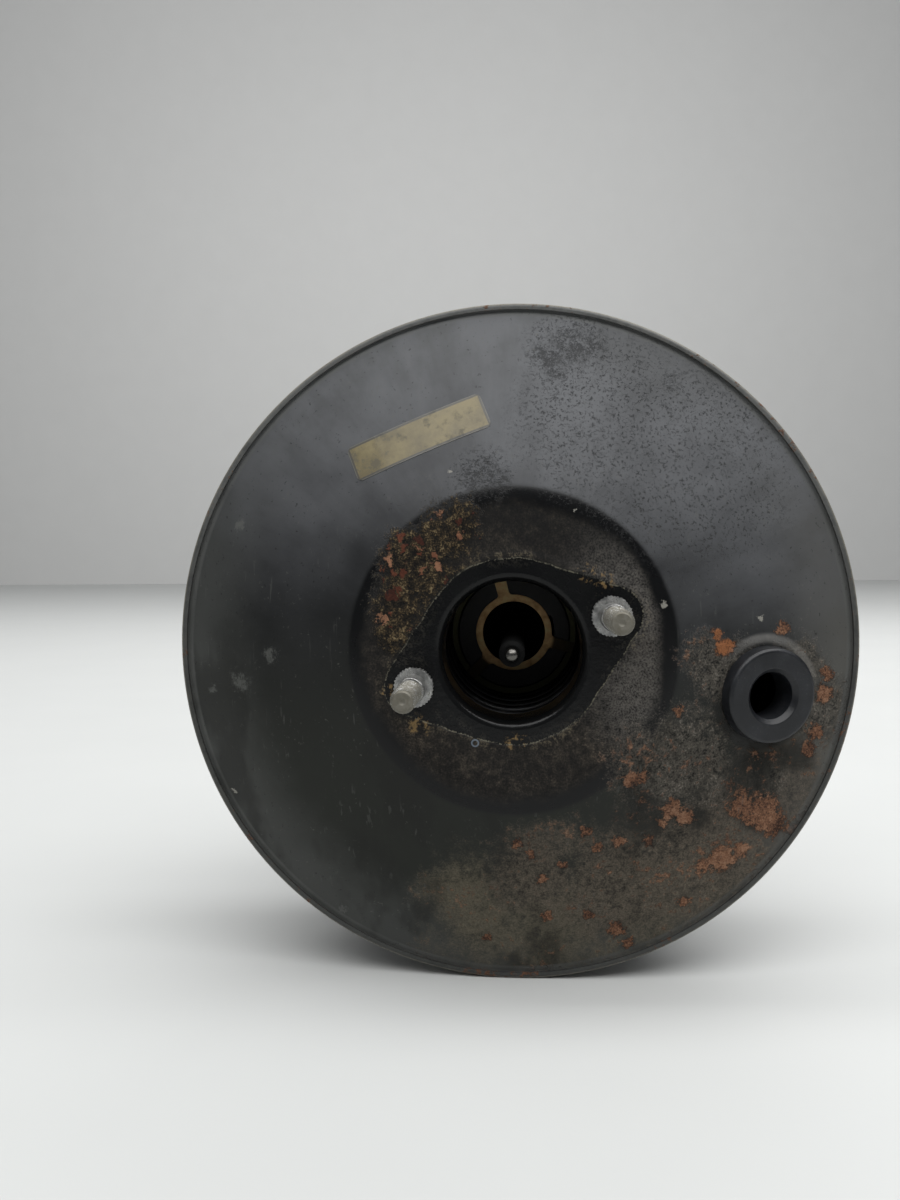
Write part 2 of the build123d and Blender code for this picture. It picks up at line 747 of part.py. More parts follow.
# Output rod tip: a hardened pin with a round end, pressed into the rod
with BuildPart() as output_rod_tip:
    with BuildSketch(Plane.XY):
        with BuildLine():
            Polyline(
                (0, rod_tip_y),
                (0, rod_end_y + tip_shank_depth - press_gap),
                (tip_radius, rod_end_y + tip_shank_depth - press_gap),
                (tip_radius, rod_tip_y + tip_radius),
            )
            CenterArc((0, rod_tip_y + tip_radius), tip_radius, -90, 90)
        make_face()
    revolve(axis=Axis.Y)
output_rod_tip.part.label = "output_rod_tip"
export_step(output_rod_tip.part, "parts/output_rod_tip.step")

# Valve plunger: front land, neck for the key, rear land, and a flange with the air valve's lip
plunger_tip_y = chamber_floor_y + valve_travel + rest_gap
plunger_back_y = lip_tip_y
plunger_flange_front_y = air_chamber_front_y + valve_travel + rest_gap
with BuildPart() as valve_plunger:
    with BuildSketch(Plane.XY):
        with BuildLine():
            lip_outer = plunger_flange_radius
            Polyline(
                (0, plunger_tip_y),
                (plunger_radius, plunger_tip_y),
                (plunger_radius, key_front_y - key_neck_gap),
                (plunger_neck_radius, key_front_y - key_neck_gap),
                (plunger_neck_radius, key_back_y + valve_travel + key_neck_gap),
                (plunger_radius, key_back_y + valve_travel + key_neck_gap),
                (plunger_radius, plunger_flange_front_y),
                (lip_outer, plunger_flange_front_y),
                (lip_outer, plunger_back_y - plunger_lip_height),
                (lip_outer - plunger_lip_width / 2, plunger_back_y),
                (lip_outer - plunger_lip_width, plunger_back_y - plunger_lip_height),
                (socket_mouth_radius, plunger_back_y - plunger_lip_height),
                (0, plunger_back_y - plunger_lip_height),
                close=True,
            )
        make_face()
    revolve(axis=Axis.Y)
    with BuildSketch(Plane.XY):
        with BuildLine():
            Line((0, ball_centre_y - ball_radius - ball_gap), (0, ball_centre_y + ball_radius + ball_gap))
            CenterArc((0, ball_centre_y), ball_radius + ball_gap, -90, 180)
        make_face()
    revolve(axis=Axis.Y, mode=Mode.SUBTRACT)
    with BuildSketch(Plane.XZ.offset(-ball_centre_y)):
        Circle(socket_mouth_radius)
    extrude(amount=-(plunger_back_y - ball_centre_y), mode=Mode.SUBTRACT)
valve_plunger.part.label = "valve_plunger"
export_step(valve_plunger.part, "parts/valve_plunger.step")

# Stop key: a flat fork round the plunger's neck, which rests on the bulkhead plate
with BuildPart() as stop_key:
    with BuildSketch(Plane.XZ.offset(-key_back_y)):
        with Locations((0, (key_reach - key_tail_reach) / 2)):
            RectangleRounded(key_width, key_reach + key_tail_reach, key_corner_radius)
        fork_width = plunger_neck_radius + key_neck_gap
        Circle(fork_width, mode=Mode.SUBTRACT)
        with Locations((0, -key_tail_reach / 2)):
            Rectangle(fork_width + fork_width, key_tail_reach, mode=Mode.SUBTRACT)
    extrude(amount=key_thickness)
stop_key.part.label = "stop_key"
export_step(stop_key.part, "parts/stop_key.step")

# Poppet valve: rubber face, thin wall and bead
with BuildPart() as poppet_valve:
    with BuildSketch(Plane.XY):
        with BuildLine():
            wall_outer = poppet_wall_inner_radius + poppet_wall_thickness
            wall_end_y = poppet_face_back_y + poppet_wall_length
            Polyline(
                (poppet_bore_radius, poppet_face_y),
                (poppet_face_radius, poppet_face_y),
                (poppet_face_radius, poppet_face_back_y),
                (wall_outer, poppet_face_back_y),
                (wall_outer, wall_end_y),
                (cavity_radius - soft_gap, poppet_bead_y),
                (cavity_radius - soft_gap, poppet_retainer_y),
                (poppet_bead_inner_radius, poppet_retainer_y),
                (poppet_bead_inner_radius, poppet_bead_y),
                (poppet_wall_inner_radius, wall_end_y + poppet_wall_thickness / 2),
                (poppet_wall_inner_radius, poppet_face_back_y),
                (poppet_bore_radius, poppet_face_back_y),
                close=True,
            )
        make_face()
    revolve(axis=Axis.Y)
poppet_valve.part.label = "poppet_valve"
export_step(poppet_valve.part, "parts/poppet_valve.step")

# Poppet retainer: holds the bead in the valve body and carries both inner springs
with BuildPart() as poppet_retainer:
    with BuildSketch(Plane.XY):
        with BuildLine():
            sleeve_outer = poppet_bead_inner_radius - press_gap
            sleeve_inner = sleeve_outer - poppet_retainer_sheet
            sleeve_y = poppet_retainer_y - poppet_bead_height
            Polyline(
                (poppet_retainer_bore, poppet_retainer_y),
                (sleeve_inner, poppet_retainer_y),
                (sleeve_inner, sleeve_y),
                (sleeve_outer, sleeve_y),
                (sleeve_outer, poppet_retainer_y),
                (cavity_radius - press_gap, poppet_retainer_y),
                (cavity_radius - press_gap, poppet_retainer_back_y),
                (poppet_retainer_bore, poppet_retainer_back_y),
                close=True,
            )
        make_face()
    revolve(axis=Axis.Y)
poppet_retainer.part.label = "poppet_retainer"
export_step(poppet_retainer.part, "parts/poppet_retainer.step")

# Poppet spring: presses the poppet's face on its seats
poppet_spring = coil(
    poppet_spring_radius,
    poppet_spring_radius,
    poppet_spring_wire,
    poppet_face_back_y + seat_gap,
    poppet_retainer_y - seat_gap,
    poppet_spring_turns,
)
poppet_spring.part.label = "poppet_spring"
export_step(poppet_spring.part, "parts/poppet_spring.step")

# Air filter: a felt ring in the tail
with BuildPart() as air_filter:
    with BuildSketch(Plane.XZ.offset(-filter_front_y)):
        Circle(cavity_radius - filter_gap)
        Circle(filter_bore_radius, mode=Mode.SUBTRACT)
    extrude(amount=-filter_length)
air_filter.part.label = "air_filter"
export_step(air_filter.part, "parts/air_filter.step")

# Silencer: a foam ring behind the filter
with BuildPart() as silencer:
    with BuildSketch(Plane.XZ.offset(-silencer_front_y)):
        Circle(cavity_radius - filter_gap)
        Circle(filter_bore_radius, mode=Mode.SUBTRACT)
    extrude(amount=-silencer_length)
silencer.part.label = "silencer"
export_step(silencer.part, "parts/silencer.step")

# Input rod: ball, neck, shaft with the collar for its spring seat, and a chamfered end
with BuildPart() as input_rod:
    with BuildSketch(Plane.XY):
        with BuildLine():
            Polyline(
                (0, ball_centre_y),
                (rod_neck_radius, ball_centre_y),
                (rod_neck_radius, rod_neck_end_y),
                (input_rod_radius, rod_neck_end_y + rod_neck_cone),
                (input_rod_radius, rod_collar_y),
                (rod_collar_radius, rod_collar_y),
                (rod_collar_radius, rod_collar_y + rod_collar_width),
                (input_rod_radius, rod_collar_y + rod_collar_width),
                (input_rod_radius, input_rod_reach - rod_end_chamfer),
                (input_rod_radius - rod_end_chamfer, input_rod_reach),
                (0, input_rod_reach),
                close=True,
            )
        make_face()
    revolve(axis=Axis.Y)
    with BuildSketch(Plane.XY):
        with BuildLine():
            Line((0, ball_centre_y - ball_radius), (0, ball_centre_y + ball_radius))
            CenterArc((0, ball_centre_y), ball_radius, -90, 180)
        make_face()
    revolve(axis=Axis.Y)
input_rod.part.label = "input_rod"
export_step(input_rod.part, "parts/input_rod.step")

# Rod spring seat: a flanged sleeve against the rod's collar
with BuildPart() as rod_spring_seat:
    with BuildSketch(Plane.XY):
        with BuildLine():
            bore = input_rod_radius + press_gap
            Polyline(
                (bore, rod_seat_y),
                (rod_seat_radius, rod_seat_y),
                (rod_seat_radius, rod_seat_y + rod_seat_sheet),
                (bore + rod_seat_sheet, rod_seat_y + rod_seat_sheet),
                (bore + rod_seat_sheet, rod_collar_y),
                (bore, rod_collar_y),
                close=True,
            )
        make_face()
    revolve(axis=Axis.Y)
rod_spring_seat.part.label = "rod_spring_seat"
export_step(rod_spring_seat.part, "parts/rod_spring_seat.step")

# Rod return spring: a cone of wire from the poppet retainer to the seat on the rod
rod_return_spring = coil(
    rod_spring_front_radius,
    rod_spring_back_radius,
    rod_spring_wire,
    poppet_retainer_back_y + rest_gap,
    rod_seat_y - seat_gap,
    rod_spring_turns,
)
rod_return_spring.part.label = "rod_return_spring"
export_step(rod_return_spring.part, "parts/rod_return_spring.step")

# Lock nut: a hexagon nut on the rod's thread, in front of the clevis
with BuildPart() as lock_nut:
    with BuildSketch(Plane.XZ.offset(-clevis_front_y + lock_nut_gap)):
        RegularPolygon(lock_nut_across_flats / 2, 6, major_radius=False)
        Circle(input_rod_radius + press_gap, mode=Mode.SUBTRACT)
    extrude(amount=lock_nut_height)
    with BuildSketch(Plane.XY):
        with BuildLine():
            nut_corner = lock_nut_across_flats / 2 / cos(radians(30))
            nut_back_y = clevis_front_y - lock_nut_gap
            nut_front_y = nut_back_y - lock_nut_height
            nut_crown = (nut_corner - lock_nut_across_flats / 2) * tan(radians(30))
            Polyline(
                (0, nut_front_y),
                (lock_nut_across_flats / 2, nut_front_y),
                (nut_corner, nut_front_y + nut_crown),
                (nut_corner, nut_back_y - nut_crown),
                (lock_nut_across_flats / 2, nut_back_y),
                (0, nut_back_y),
                close=True,
            )
        make_face()
    revolve(axis=Axis.Y, mode=Mode.INTERSECT)
lock_nut.part.label = "lock_nut"
export_step(lock_nut.part, "parts/lock_nut.step")

# Clevis: threaded boss and a fork with round ends for the pedal pin
with BuildPart() as clevis:
    fork_front_y = clevis_front_y + clevis_boss_length
    with BuildSketch(Plane.YZ.offset(-clevis_width / 2)):
        with Locations(((fork_front_y + clevis_pin_y) / 2, 0)):
            Rectangle(clevis_pin_y - fork_front_y, clevis_height)
        with Locations((clevis_pin_y, 0)):
            Circle(clevis_height / 2)
    extrude(amount=clevis_width)
    chamfer(edges().group_by(Axis.X)[0] + edges().group_by(Axis.X)[-1], length=clevis_edge_chamfer)
    with BuildSketch(Plane.XZ.offset(-fork_front_y)):
        Circle(clevis_boss_radius)
    extrude(amount=clevis_boss_length)
    with BuildSketch(Plane.YZ.offset(-clevis_fork_gap / 2)):
        slot_length = clevis_height + clevis_pin_y - fork_front_y
        with Locations((fork_front_y + input_rod_radius / 2 + slot_length / 2, 0)):
            Rectangle(slot_length, clevis_height + overrun + overrun)
    extrude(amount=clevis_fork_gap, mode=Mode.SUBTRACT)
    with BuildSketch(Plane.XZ.offset(-clevis_front_y)):
        Circle(input_rod_radius + press_gap)
    extrude(amount=-(clevis_boss_length + input_rod_radius), mode=Mode.SUBTRACT)
    with BuildSketch(Plane.YZ.offset(-clevis_width / 2 - overrun)):
        with Locations((clevis_pin_y, 0)):
            Circle(clevis_pin_radius)
    extrude(amount=clevis_width + overrun + overrun, mode=Mode.SUBTRACT)
clevis.part.label = "clevis"
export_step(clevis.part, "parts/clevis.step")

# Return spring: from the stud plate to the retainer's arms, round the front neck
return_spring = coil(
    return_spring_radius,
    return_spring_radius,
    return_spring_wire,
    stud_plate_back_y + seat_gap,
    hub_front_y - retainer_thickness - seat_gap,
    return_spring_turns,
)
return_spring.part.label = "return_spring"
export_step(return_spring.part, "parts/return_spring.step")

# Dust boot: a folded rubber sleeve from the rear neck to the end of the tail
boot_start_y = boot_front_y + boot_collar_length
boot_end_y = boot_back_y - boot_collar_length
boot_pitch = (boot_end_y - boot_start_y) / boot_fold_count
boot_front_radius = rear_neck_radius + soft_gap + boot_wall
boot_back_radius = tail_radius + soft_gap + boot_wall
boot_points = [(boot_front_radius, boot_front_y), (boot_front_radius, boot_start_y)]
for fold in range(boot_fold_count):
    share = (fold + 0.5) / boot_fold_count
    valley_radius = boot_front_radius + (boot_back_radius - boot_front_radius) * share
    fold_y = boot_start_y + boot_pitch * fold
    boot_points.append((valley_radius + boot_fold_height, fold_y + boot_pitch / 2))
    boot_points.append((valley_radius, fold_y + boot_pitch))
boot_points[-1] = (boot_back_radius, boot_end_y)
boot_points.append((boot_back_radius, boot_back_y))
with BuildPart() as dust_boot:
    with BuildSketch(Plane.XY):
        with BuildLine():
            Polyline(*boot_points)
            offset(amount=boot_wall, side=Side.LEFT)
        make_face()
    revolve(axis=Axis.Y)
dust_boot.part.label = "dust_boot"
export_step(dust_boot.part, "parts/dust_boot.step")
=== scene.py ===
import json
import math

import bmesh
import bpy
from bpy.props import FloatProperty, FloatVectorProperty, IntProperty, PointerProperty
from bpy.types import Operator, Panel, PropertyGroup
from mathutils import Matrix, Vector

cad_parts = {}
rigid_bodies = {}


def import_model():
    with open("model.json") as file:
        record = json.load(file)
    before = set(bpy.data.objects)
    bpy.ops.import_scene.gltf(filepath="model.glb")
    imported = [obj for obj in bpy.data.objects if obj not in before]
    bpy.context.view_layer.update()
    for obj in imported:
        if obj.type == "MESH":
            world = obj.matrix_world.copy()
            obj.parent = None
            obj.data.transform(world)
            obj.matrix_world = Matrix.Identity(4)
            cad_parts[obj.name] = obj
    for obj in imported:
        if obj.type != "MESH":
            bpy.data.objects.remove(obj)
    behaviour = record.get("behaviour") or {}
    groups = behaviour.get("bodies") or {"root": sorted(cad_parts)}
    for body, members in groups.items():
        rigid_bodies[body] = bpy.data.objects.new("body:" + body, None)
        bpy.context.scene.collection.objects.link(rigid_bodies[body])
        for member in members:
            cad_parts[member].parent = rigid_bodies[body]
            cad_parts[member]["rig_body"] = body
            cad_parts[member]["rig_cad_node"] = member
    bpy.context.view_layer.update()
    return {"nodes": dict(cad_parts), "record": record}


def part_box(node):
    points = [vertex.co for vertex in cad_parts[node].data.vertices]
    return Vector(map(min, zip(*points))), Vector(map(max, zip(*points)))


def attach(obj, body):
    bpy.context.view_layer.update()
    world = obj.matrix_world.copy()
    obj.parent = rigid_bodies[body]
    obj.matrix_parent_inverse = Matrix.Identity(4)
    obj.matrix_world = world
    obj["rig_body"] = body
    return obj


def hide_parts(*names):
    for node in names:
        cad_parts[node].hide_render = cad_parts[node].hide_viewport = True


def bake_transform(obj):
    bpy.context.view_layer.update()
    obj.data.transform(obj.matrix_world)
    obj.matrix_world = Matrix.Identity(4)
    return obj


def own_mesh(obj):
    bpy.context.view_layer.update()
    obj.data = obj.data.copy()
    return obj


bl_info = {
    "name": "Vacuum brake booster",
    "version": (1, 0, 0),
    "blender": (4, 5, 0),
    "location": "View3D > Sidebar > Booster",
    "description": "Models and finishes the pieces of a vacuum brake booster on its CAD frame",
    "category": "Object",
}

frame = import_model()
MM = 0.001
MERGE = 0.002 * MM
WELD = 0.001 * MM
TURN = 2 * math.pi

FRONT_LOW, FRONT_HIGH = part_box("front_shell")
REAR_LOW, REAR_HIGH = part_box("rear_shell")
STUD_LOW, STUD_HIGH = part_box("master_cylinder_studs")
BOOT_LOW, BOOT_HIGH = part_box("dust_boot")
SPRING_LOW, SPRING_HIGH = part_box("return_spring")
NEAR_STUD_LOW, NEAR_STUD_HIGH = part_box("bulkhead_studs")

SEAT_Y = FRONT_LOW.y
NECK_RADIUS = 25.2 * MM
TAIL_RADIUS = 19 * MM
RIM_RADIUS = REAR_HIGH.x
FLANGE_RADIUS = FRONT_HIGH.x
FLANK_ANGLE = math.radians(19.5)
BACK_ANGLE = math.radians(17.8)
STUD_ANGLE = math.radians(20)
STUD_PITCH = 70 * MM
STUD_PLACES = [
    (STUD_PITCH / 2 * math.cos(turn), STUD_PITCH / 2 * math.sin(turn))
    for turn in (STUD_ANGLE, STUD_ANGLE + math.pi)
]
BULKHEAD_PLACES = [(x * 40 * MM, z * 30 * MM) for x in (-1, 1) for z in (-1, 1)]
CAMERA_VIEW = (-0.0708, 0.9965, -0.0447)
CAMERA_UP = (0, 0.0448, 0.9990)
CAMERA_OFFSET = (2.96 * MM, -332.8 * MM, 32.2 * MM)
LENS = 30.0
SENSOR_WIDTH = 36.0
WALL_YAW = math.radians(9)
LABEL_PLACE = Vector((-32.7 * MM, SEAT_Y + 6.2 * MM, 74.0 * MM))
LABEL_SLOPE = math.radians(22)
PORT = next(m for m in frame["record"]["mounts"] if m["name"] == "vacuum_port")
PORT_PLACE = Vector(PORT["pos_m"])
PORT_NORMAL = Vector(PORT["axis"])


# Sizes and colours that a user would change

def measure(name, description, default):
    return FloatProperty(name=name, description=description, default=default, unit="LENGTH")


def tint(name, description, default):
    return FloatVectorProperty(name=name, description=description, subtype="COLOR", default=default,
                               min=0, max=1)


class CasingSettings(PropertyGroup):
    sheet: measure("Sheet", "Thickness of the front shell", 1.5 * MM)
    opening: measure("Opening", "Radius of the centre opening", 23.5 * MM)
    opening_edge: measure("Opening edge", "Radius of the opening's rolled edge", 3 * MM)
    plateau: measure("Plateau", "Radius of the flat plateau", 52.5 * MM)
    plateau_corner: measure("Plateau corner", "Radius between plateau and flank", 17 * MM)
    flank: measure("Flank", "Radius where the flank ends", 117.8 * MM)
    rounds: IntProperty(name="Facets", description="Facets round the casing", default=224, min=48)
    paint: tint("Paint", "Colour of the casing's paint", (0.0036, 0.0038, 0.0040))
    # Worn paint also gives the painted sheen of the light on the front casing's upper flank.
    worn_paint_and_sheen: tint("Worn paint", "Colour of chalky, worn paint", (0.104, 0.107, 0.113))
    dust: tint("Dust", "Colour of road dust on the casing", (0.088, 0.077, 0.055))
    rust: tint("Rust", "Colour of bright rust", (0.165, 0.080, 0.045))
    old_rust: tint("Old rust", "Colour of dark rust", (0.058, 0.029, 0.019))
    gloss: FloatProperty(name="Roughness", description="Roughness of the clean paint",
                         default=0.34, min=0, max=1)


class StudSettings(PropertyGroup):
    thread_radius: measure("Thread", "Outer radius of the thread", 4 * MM)
    pitch: measure("Pitch", "Pitch of the thread", 1.25 * MM)
    thread_depth: measure("Depth", "Depth of the thread", 0.7 * MM)
    shank_radius: measure("Shank", "Radius of the smooth shank", 4.5 * MM)
    shank_length: measure("Shank length", "Length of the shank past the collar", 9 * MM)
    collar_radius: measure("Collar", "Radius over the collar's teeth", 6.8 * MM)
    collar_height: measure("Collar height", "Height of the serrated collar", 2.4 * MM)
    teeth: IntProperty(name="Teeth", description="Teeth round the collar", default=36, min=6)
    zinc: tint("Zinc", "Colour of the zinc plate", (0.50, 0.50, 0.49))


class GrommetSettings(PropertyGroup):
    radius: measure("Radius", "Radius of the grommet's head", 16.5 * MM)
    height: measure("Height", "Height of the head over the flank", 5.4 * MM)
    bore: measure("Bore", "Radius of the bore", 8 * MM)
    groove: measure("Groove", "Radius of the groove that the sheet sits in", 12.5 * MM)
    edge: measure("Edge", "Radius of the head's outer edge", 1.5 * MM)
    rubber: tint("Rubber", "Colour of the rubber", (0.0075, 0.0082, 0.0098))


class LabelSettings(PropertyGroup):
    length: measure("Length", "Length along the rim", 50.5 * MM)
    width: measure("Width", "Width across the flank", 13.4 * MM)
    corner: measure("Corner", "Radius of the corners", 2 * MM)
    film: measure("Film", "Thickness of the film", 0.12 * MM)
    field: tint("Field", "Colour of the aged field", (0.192, 0.156, 0.074))


class StageSettings(PropertyGroup):
    floor: tint("Floor", "Colour of the floor", (0.60, 0.61, 0.60))
    wall: tint("Wall", "Colour of the wall", (0.60, 0.60, 0.59))
    key_power: FloatProperty(name="Key light", description="Power of the soft light above",
                             default=31.0, min=0)
    sky: FloatProperty(name="Sky", description="Strength of the even light", default=0.16, min=0)


# Shader maths

class Tone:
    """A socket of a material, so that the maths of a finish reads as plain sums."""

    def __init__(self, finish, socket):
        self.finish, self.socket = finish, socket

    def maths(self, operation, *values):
        return self.finish.add("ShaderNodeMath", {"operation": operation}, values)

    def __add__(self, other):
        return self.maths("ADD", self, other)

    def __sub__(self, other):
        return self.maths("SUBTRACT", self, other)

    def __rsub__(self, other):
        return self.maths("SUBTRACT", other, self)

    def __mul__(self, other):
        return self.maths("MULTIPLY", self, other)

    def __truediv__(self, other):
        return self.maths("DIVIDE", self, other)

    def __pow__(self, other):
        return self.maths("POWER", self, other)

    def __lt__(self, other):
        return self.maths("LESS_THAN", self, other)

    def __gt__(self, other):
        return self.maths("GREATER_THAN", self, other)

    def __abs__(self):
        return self.maths("ABSOLUTE", self)

    def max(self, other):
        return self.maths("MAXIMUM", self, other)

    def min(self, other):
        return self.maths("MINIMUM", self, other)

    __radd__ = __add__
    __rmul__ = __mul__


class Finish:
    """One material, with its principled shader and the few nodes that all finishes share."""

    def __init__(self, name, **surface):
        self.material = bpy.data.materials.new(name)
        self.material.use_nodes = True
        self.tree = self.material.node_tree
        self.tree.nodes.clear()
        self.shader = self.tree.nodes.new("ShaderNodeBsdfPrincipled")
        output = self.tree.nodes.new("ShaderNodeOutputMaterial")
        self.tree.links.new(self.shader.outputs[0], output.inputs[0])
        self.place = self.add("ShaderNodeTexCoord", output="Object")
        self.wear(**surface)

    def add(self, kind, settings=None, sockets=(), output=0):
        """Adds a node: its settings come first, then the values or links of its sockets."""
        node = self.tree.nodes.new(kind)
        for key, value in (settings or {}).items():
            if key == "stops":
                while len(node.color_ramp.elements) < len(value):
                    node.color_ramp.elements.new(0.5)
                for element, (position, colour) in zip(node.color_ramp.elements, value):
                    element.position, element.color = position, (*colour, 1)
            else:
                setattr(node, key, value)
        pairs = sockets.items() if isinstance(sockets, dict) else enumerate(sockets)
        for key, value in pairs:
            self.put(node.inputs[key], value)
        return Tone(self, node.outputs[output])

    def put(self, socket, value):
        if isinstance(value, Tone):
            self.tree.links.new(value.socket, socket)
        elif socket.type == "RGBA" and len(value) == 3:
            socket.default_value = (*value, 1)
        else:
            socket.default_value = value

    def wear(self, **surface):
        """Sets or links the shader's sockets, written as Base_Color for Base Color."""
        for name, value in surface.items():
            self.put(self.shader.inputs[name.replace("_", " ")], value)
        return self.material

    def noise(self, scale, detail=4.0, rough=0.55, warp=0.0, place=None, output=0):
        sockets = {"Vector": place or self.place, "Scale": scale, "Detail": detail, "Roughness": rough,
                   "Distortion": warp}
        return self.add("ShaderNodeTexNoise", {}, sockets, output)

    def cells(self, scale, feature="F1", place=None, output="Distance"):
        sockets = {"Vector": place or self.place, "Scale": scale}
        return self.add("ShaderNodeTexVoronoi", {"feature": feature}, sockets, output)

    def fade(self, value, low, high, to_low=0.0, to_high=1.0):
        """to_low below low, to_high above high, and a soft step between them."""
        return self.add("ShaderNodeMapRange", {"interpolation_type": "SMOOTHSTEP"},
                        (value, low, high, to_low, to_high))

    def blend(self, share, first, second):
        """The first colour, with a share of the second over it."""
        return self.add("ShaderNodeMix", {"data_type": "RGBA"}, {0: share, 6: first, 7: second}, 2)

    def ramp(self, value, *stops):
        return self.add("ShaderNodeValToRGB", {"stops": stops}, (value,))

    def stretched(self, scale):
        return self.add("ShaderNodeMapping", {}, {"Vector": self.place, "Scale": scale})

    def vector(self, operation, first, second, output=0):
        return self.add("ShaderNodeVectorMath", {"operation": operation}, (first, second), output)

    def flattened(self):
        """Places with their y taken away, so that a mark goes straight through the sheet."""
        return self.vector("MULTIPLY", self.place, (1, 0, 1))

    def split(self, vector=None):
        node = self.tree.nodes.new("ShaderNodeSeparateXYZ")
        self.put(node.inputs[0], vector or self.place)
        return [Tone(self, socket) for socket in node.outputs]

    def bump(self, height, depth, strength=1.0):
        return self.add("ShaderNodeBump", {}, {"Height": height, "Distance": depth, "Strength": strength})


def spots(finish, place, marks):
    """The highest of soft round marks, each (x, z, radius) in millimetres, from 1 in the middle to 0."""
    highest = None
    for x, z, radius in marks:
        mark = 1 - finish.vector("DISTANCE", place, (x * MM, 0, z * MM), "Value") / (radius * MM)
        highest = mark if highest is None else highest.max(mark)
    return highest


# Modelling helpers

def deselect():
    """Leaves edit mode and deselects everything."""
    if bpy.context.object and bpy.context.object.mode != "OBJECT":
        bpy.ops.object.mode_set(mode="OBJECT")
    bpy.ops.object.select_all(action="DESELECT")


def focus(piece):
    deselect()
    piece.select_set(True)
    bpy.context.view_layer.objects.active = piece
    return piece


def edit():
    """Enters edit mode with every vertex selected."""
    bpy.ops.object.mode_set(mode="EDIT")
    bpy.ops.mesh.select_mode(type="VERT")
    bpy.ops.mesh.select_all(action="SELECT")


def close_edit():
    """Turns all faces outwards and leaves edit mode."""
    bpy.ops.mesh.select_all(action="SELECT")
    bpy.ops.mesh.normals_make_consistent(inside=False)
    bpy.ops.object.mode_set(mode="OBJECT")


def pick(test):
    """Selects, in edit mode, the vertices that pass the test, with the edges and faces between them."""
    mesh = bmesh.from_edit_mesh(bpy.context.object.data)
    for vert in mesh.verts:
        vert.select = bool(test(vert.co))
    mesh.select_flush_mode()
    bmesh.update_edit_mesh(bpy.context.object.data)


def modify(piece, kind, **settings):
    """Adds a modifier and applies it."""
    focus(piece)
    modifier = piece.modifiers.new(kind.title(), kind)
    for key, value in settings.items():
        setattr(modifier, key, value)
    bpy.ops.object.modifier_apply(modifier=modifier.name)
    return piece


def smooth(piece, angle=32, weighted=True):
    focus(piece)
    bpy.ops.object.shade_smooth_by_angle(angle=math.radians(angle))
    if weighted:
        modify(piece, "WEIGHTED_NORMAL", keep_sharp=True)
    return piece


def outline(name, corners, rounds=()):
    """An edge line through (radius, y) corners, left in edit mode, with a radius for each inner corner."""
    deselect()
    first = corners[0]
    bpy.ops.mesh.primitive_plane_add(size=MM, location=(first[0], first[1], 0))
    piece = bpy.context.object
    piece.name = name
    bpy.ops.object.transform_apply(location=True)
    edit()
    bpy.ops.mesh.merge(type="CENTER")
    for (x, y), (x_next, y_next) in zip(corners, corners[1:]):
        bpy.ops.mesh.extrude_vertices_move(TRANSFORM_OT_translate={"value": (x_next - x, y_next - y, 0)})
    for number, radius in enumerate(rounds, 1):
        if not radius:
            continue
        corner = Vector((*corners[number], 0))
        before = Vector((*corners[number - 1], 0)) - corner
        after = Vector((*corners[(number + 1) % len(corners)], 0)) - corner
        turn = math.pi - before.angle(after)
        pick(lambda co, at=corner: (co - at).length < MERGE)
        bpy.ops.mesh.bevel(offset=radius * math.tan(turn / 2), affect="VERTICES", clamp_overlap=False,
                           segments=max(3, round(math.degrees(turn) / 8)))
    return piece


def close_line(*corners):
    """Joins the two ends of the line in edit mode."""
    ends = [Vector((*corner, 0)) for corner in corners]
    pick(lambda co: min((co - end).length for end in ends) < MERGE)
    bpy.ops.mesh.edge_face_add()


def spun(piece, steps, closed_line=None, thickness=0.0, outward=None):
    """Spins the line in edit mode round the Y axis into a turned piece, or into sheet of that thickness."""
    if closed_line:
        close_line(*closed_line)
    bpy.ops.mesh.select_all(action="SELECT")
    bpy.ops.mesh.spin(steps=steps, angle=TURN, center=(0, 0, 0), axis=(0, 1, 0))
    bpy.ops.mesh.select_all(action="SELECT")
    bpy.ops.mesh.remove_doubles(threshold=MERGE)
    close_edit()
    if outward:
        place, direction = (Vector(v) for v in outward)
        near = min(piece.data.polygons, key=lambda face: (face.center - place).length)
        if near.normal.dot(direction) < 0:
            edit()
            bpy.ops.mesh.flip_normals()
            bpy.ops.object.mode_set(mode="OBJECT")
    if thickness:
        modify(piece, "SOLIDIFY", thickness=thickness, offset=-1, use_even_offset=True)
    return smooth(piece)


def turned(name, corners, rounds=(), steps=64):
    """A solid of revolution about the booster's axis, from the closed outline through its corners."""
    piece = outline(name, corners, rounds)
    on_axis = max(corners[0][0], corners[-1][0]) < MERGE
    return spun(piece, steps, closed_line=None if on_axis else (corners[0], corners[-1]))


def drawn(name, corners, rounds, thickness, steps, outward):
    """A drawn sheet or a moulded skin about the booster's axis."""
    return spun(outline(name, corners, rounds), steps, thickness=thickness, outward=outward)


def placed(piece, matrix):
    """Moves a piece and writes its place into its mesh."""
    piece.matrix_world = matrix @ piece.matrix_world
    focus(piece)
    bpy.ops.object.transform_apply(location=True, rotation=True, scale=True)
    return piece


def copied(piece, name, matrix):
    """A copy with its own mesh, moved by the matrix."""
    focus(piece)
    bpy.ops.object.duplicate(linked=False)
    twin = bpy.context.object
    twin.name = name
    return placed(twin, matrix)


def joined(name, *pieces):
    focus(pieces[0])
    for piece in pieces:
        piece.select_set(True)
    bpy.ops.object.join()
    bpy.context.object.name = name
    return bpy.context.object


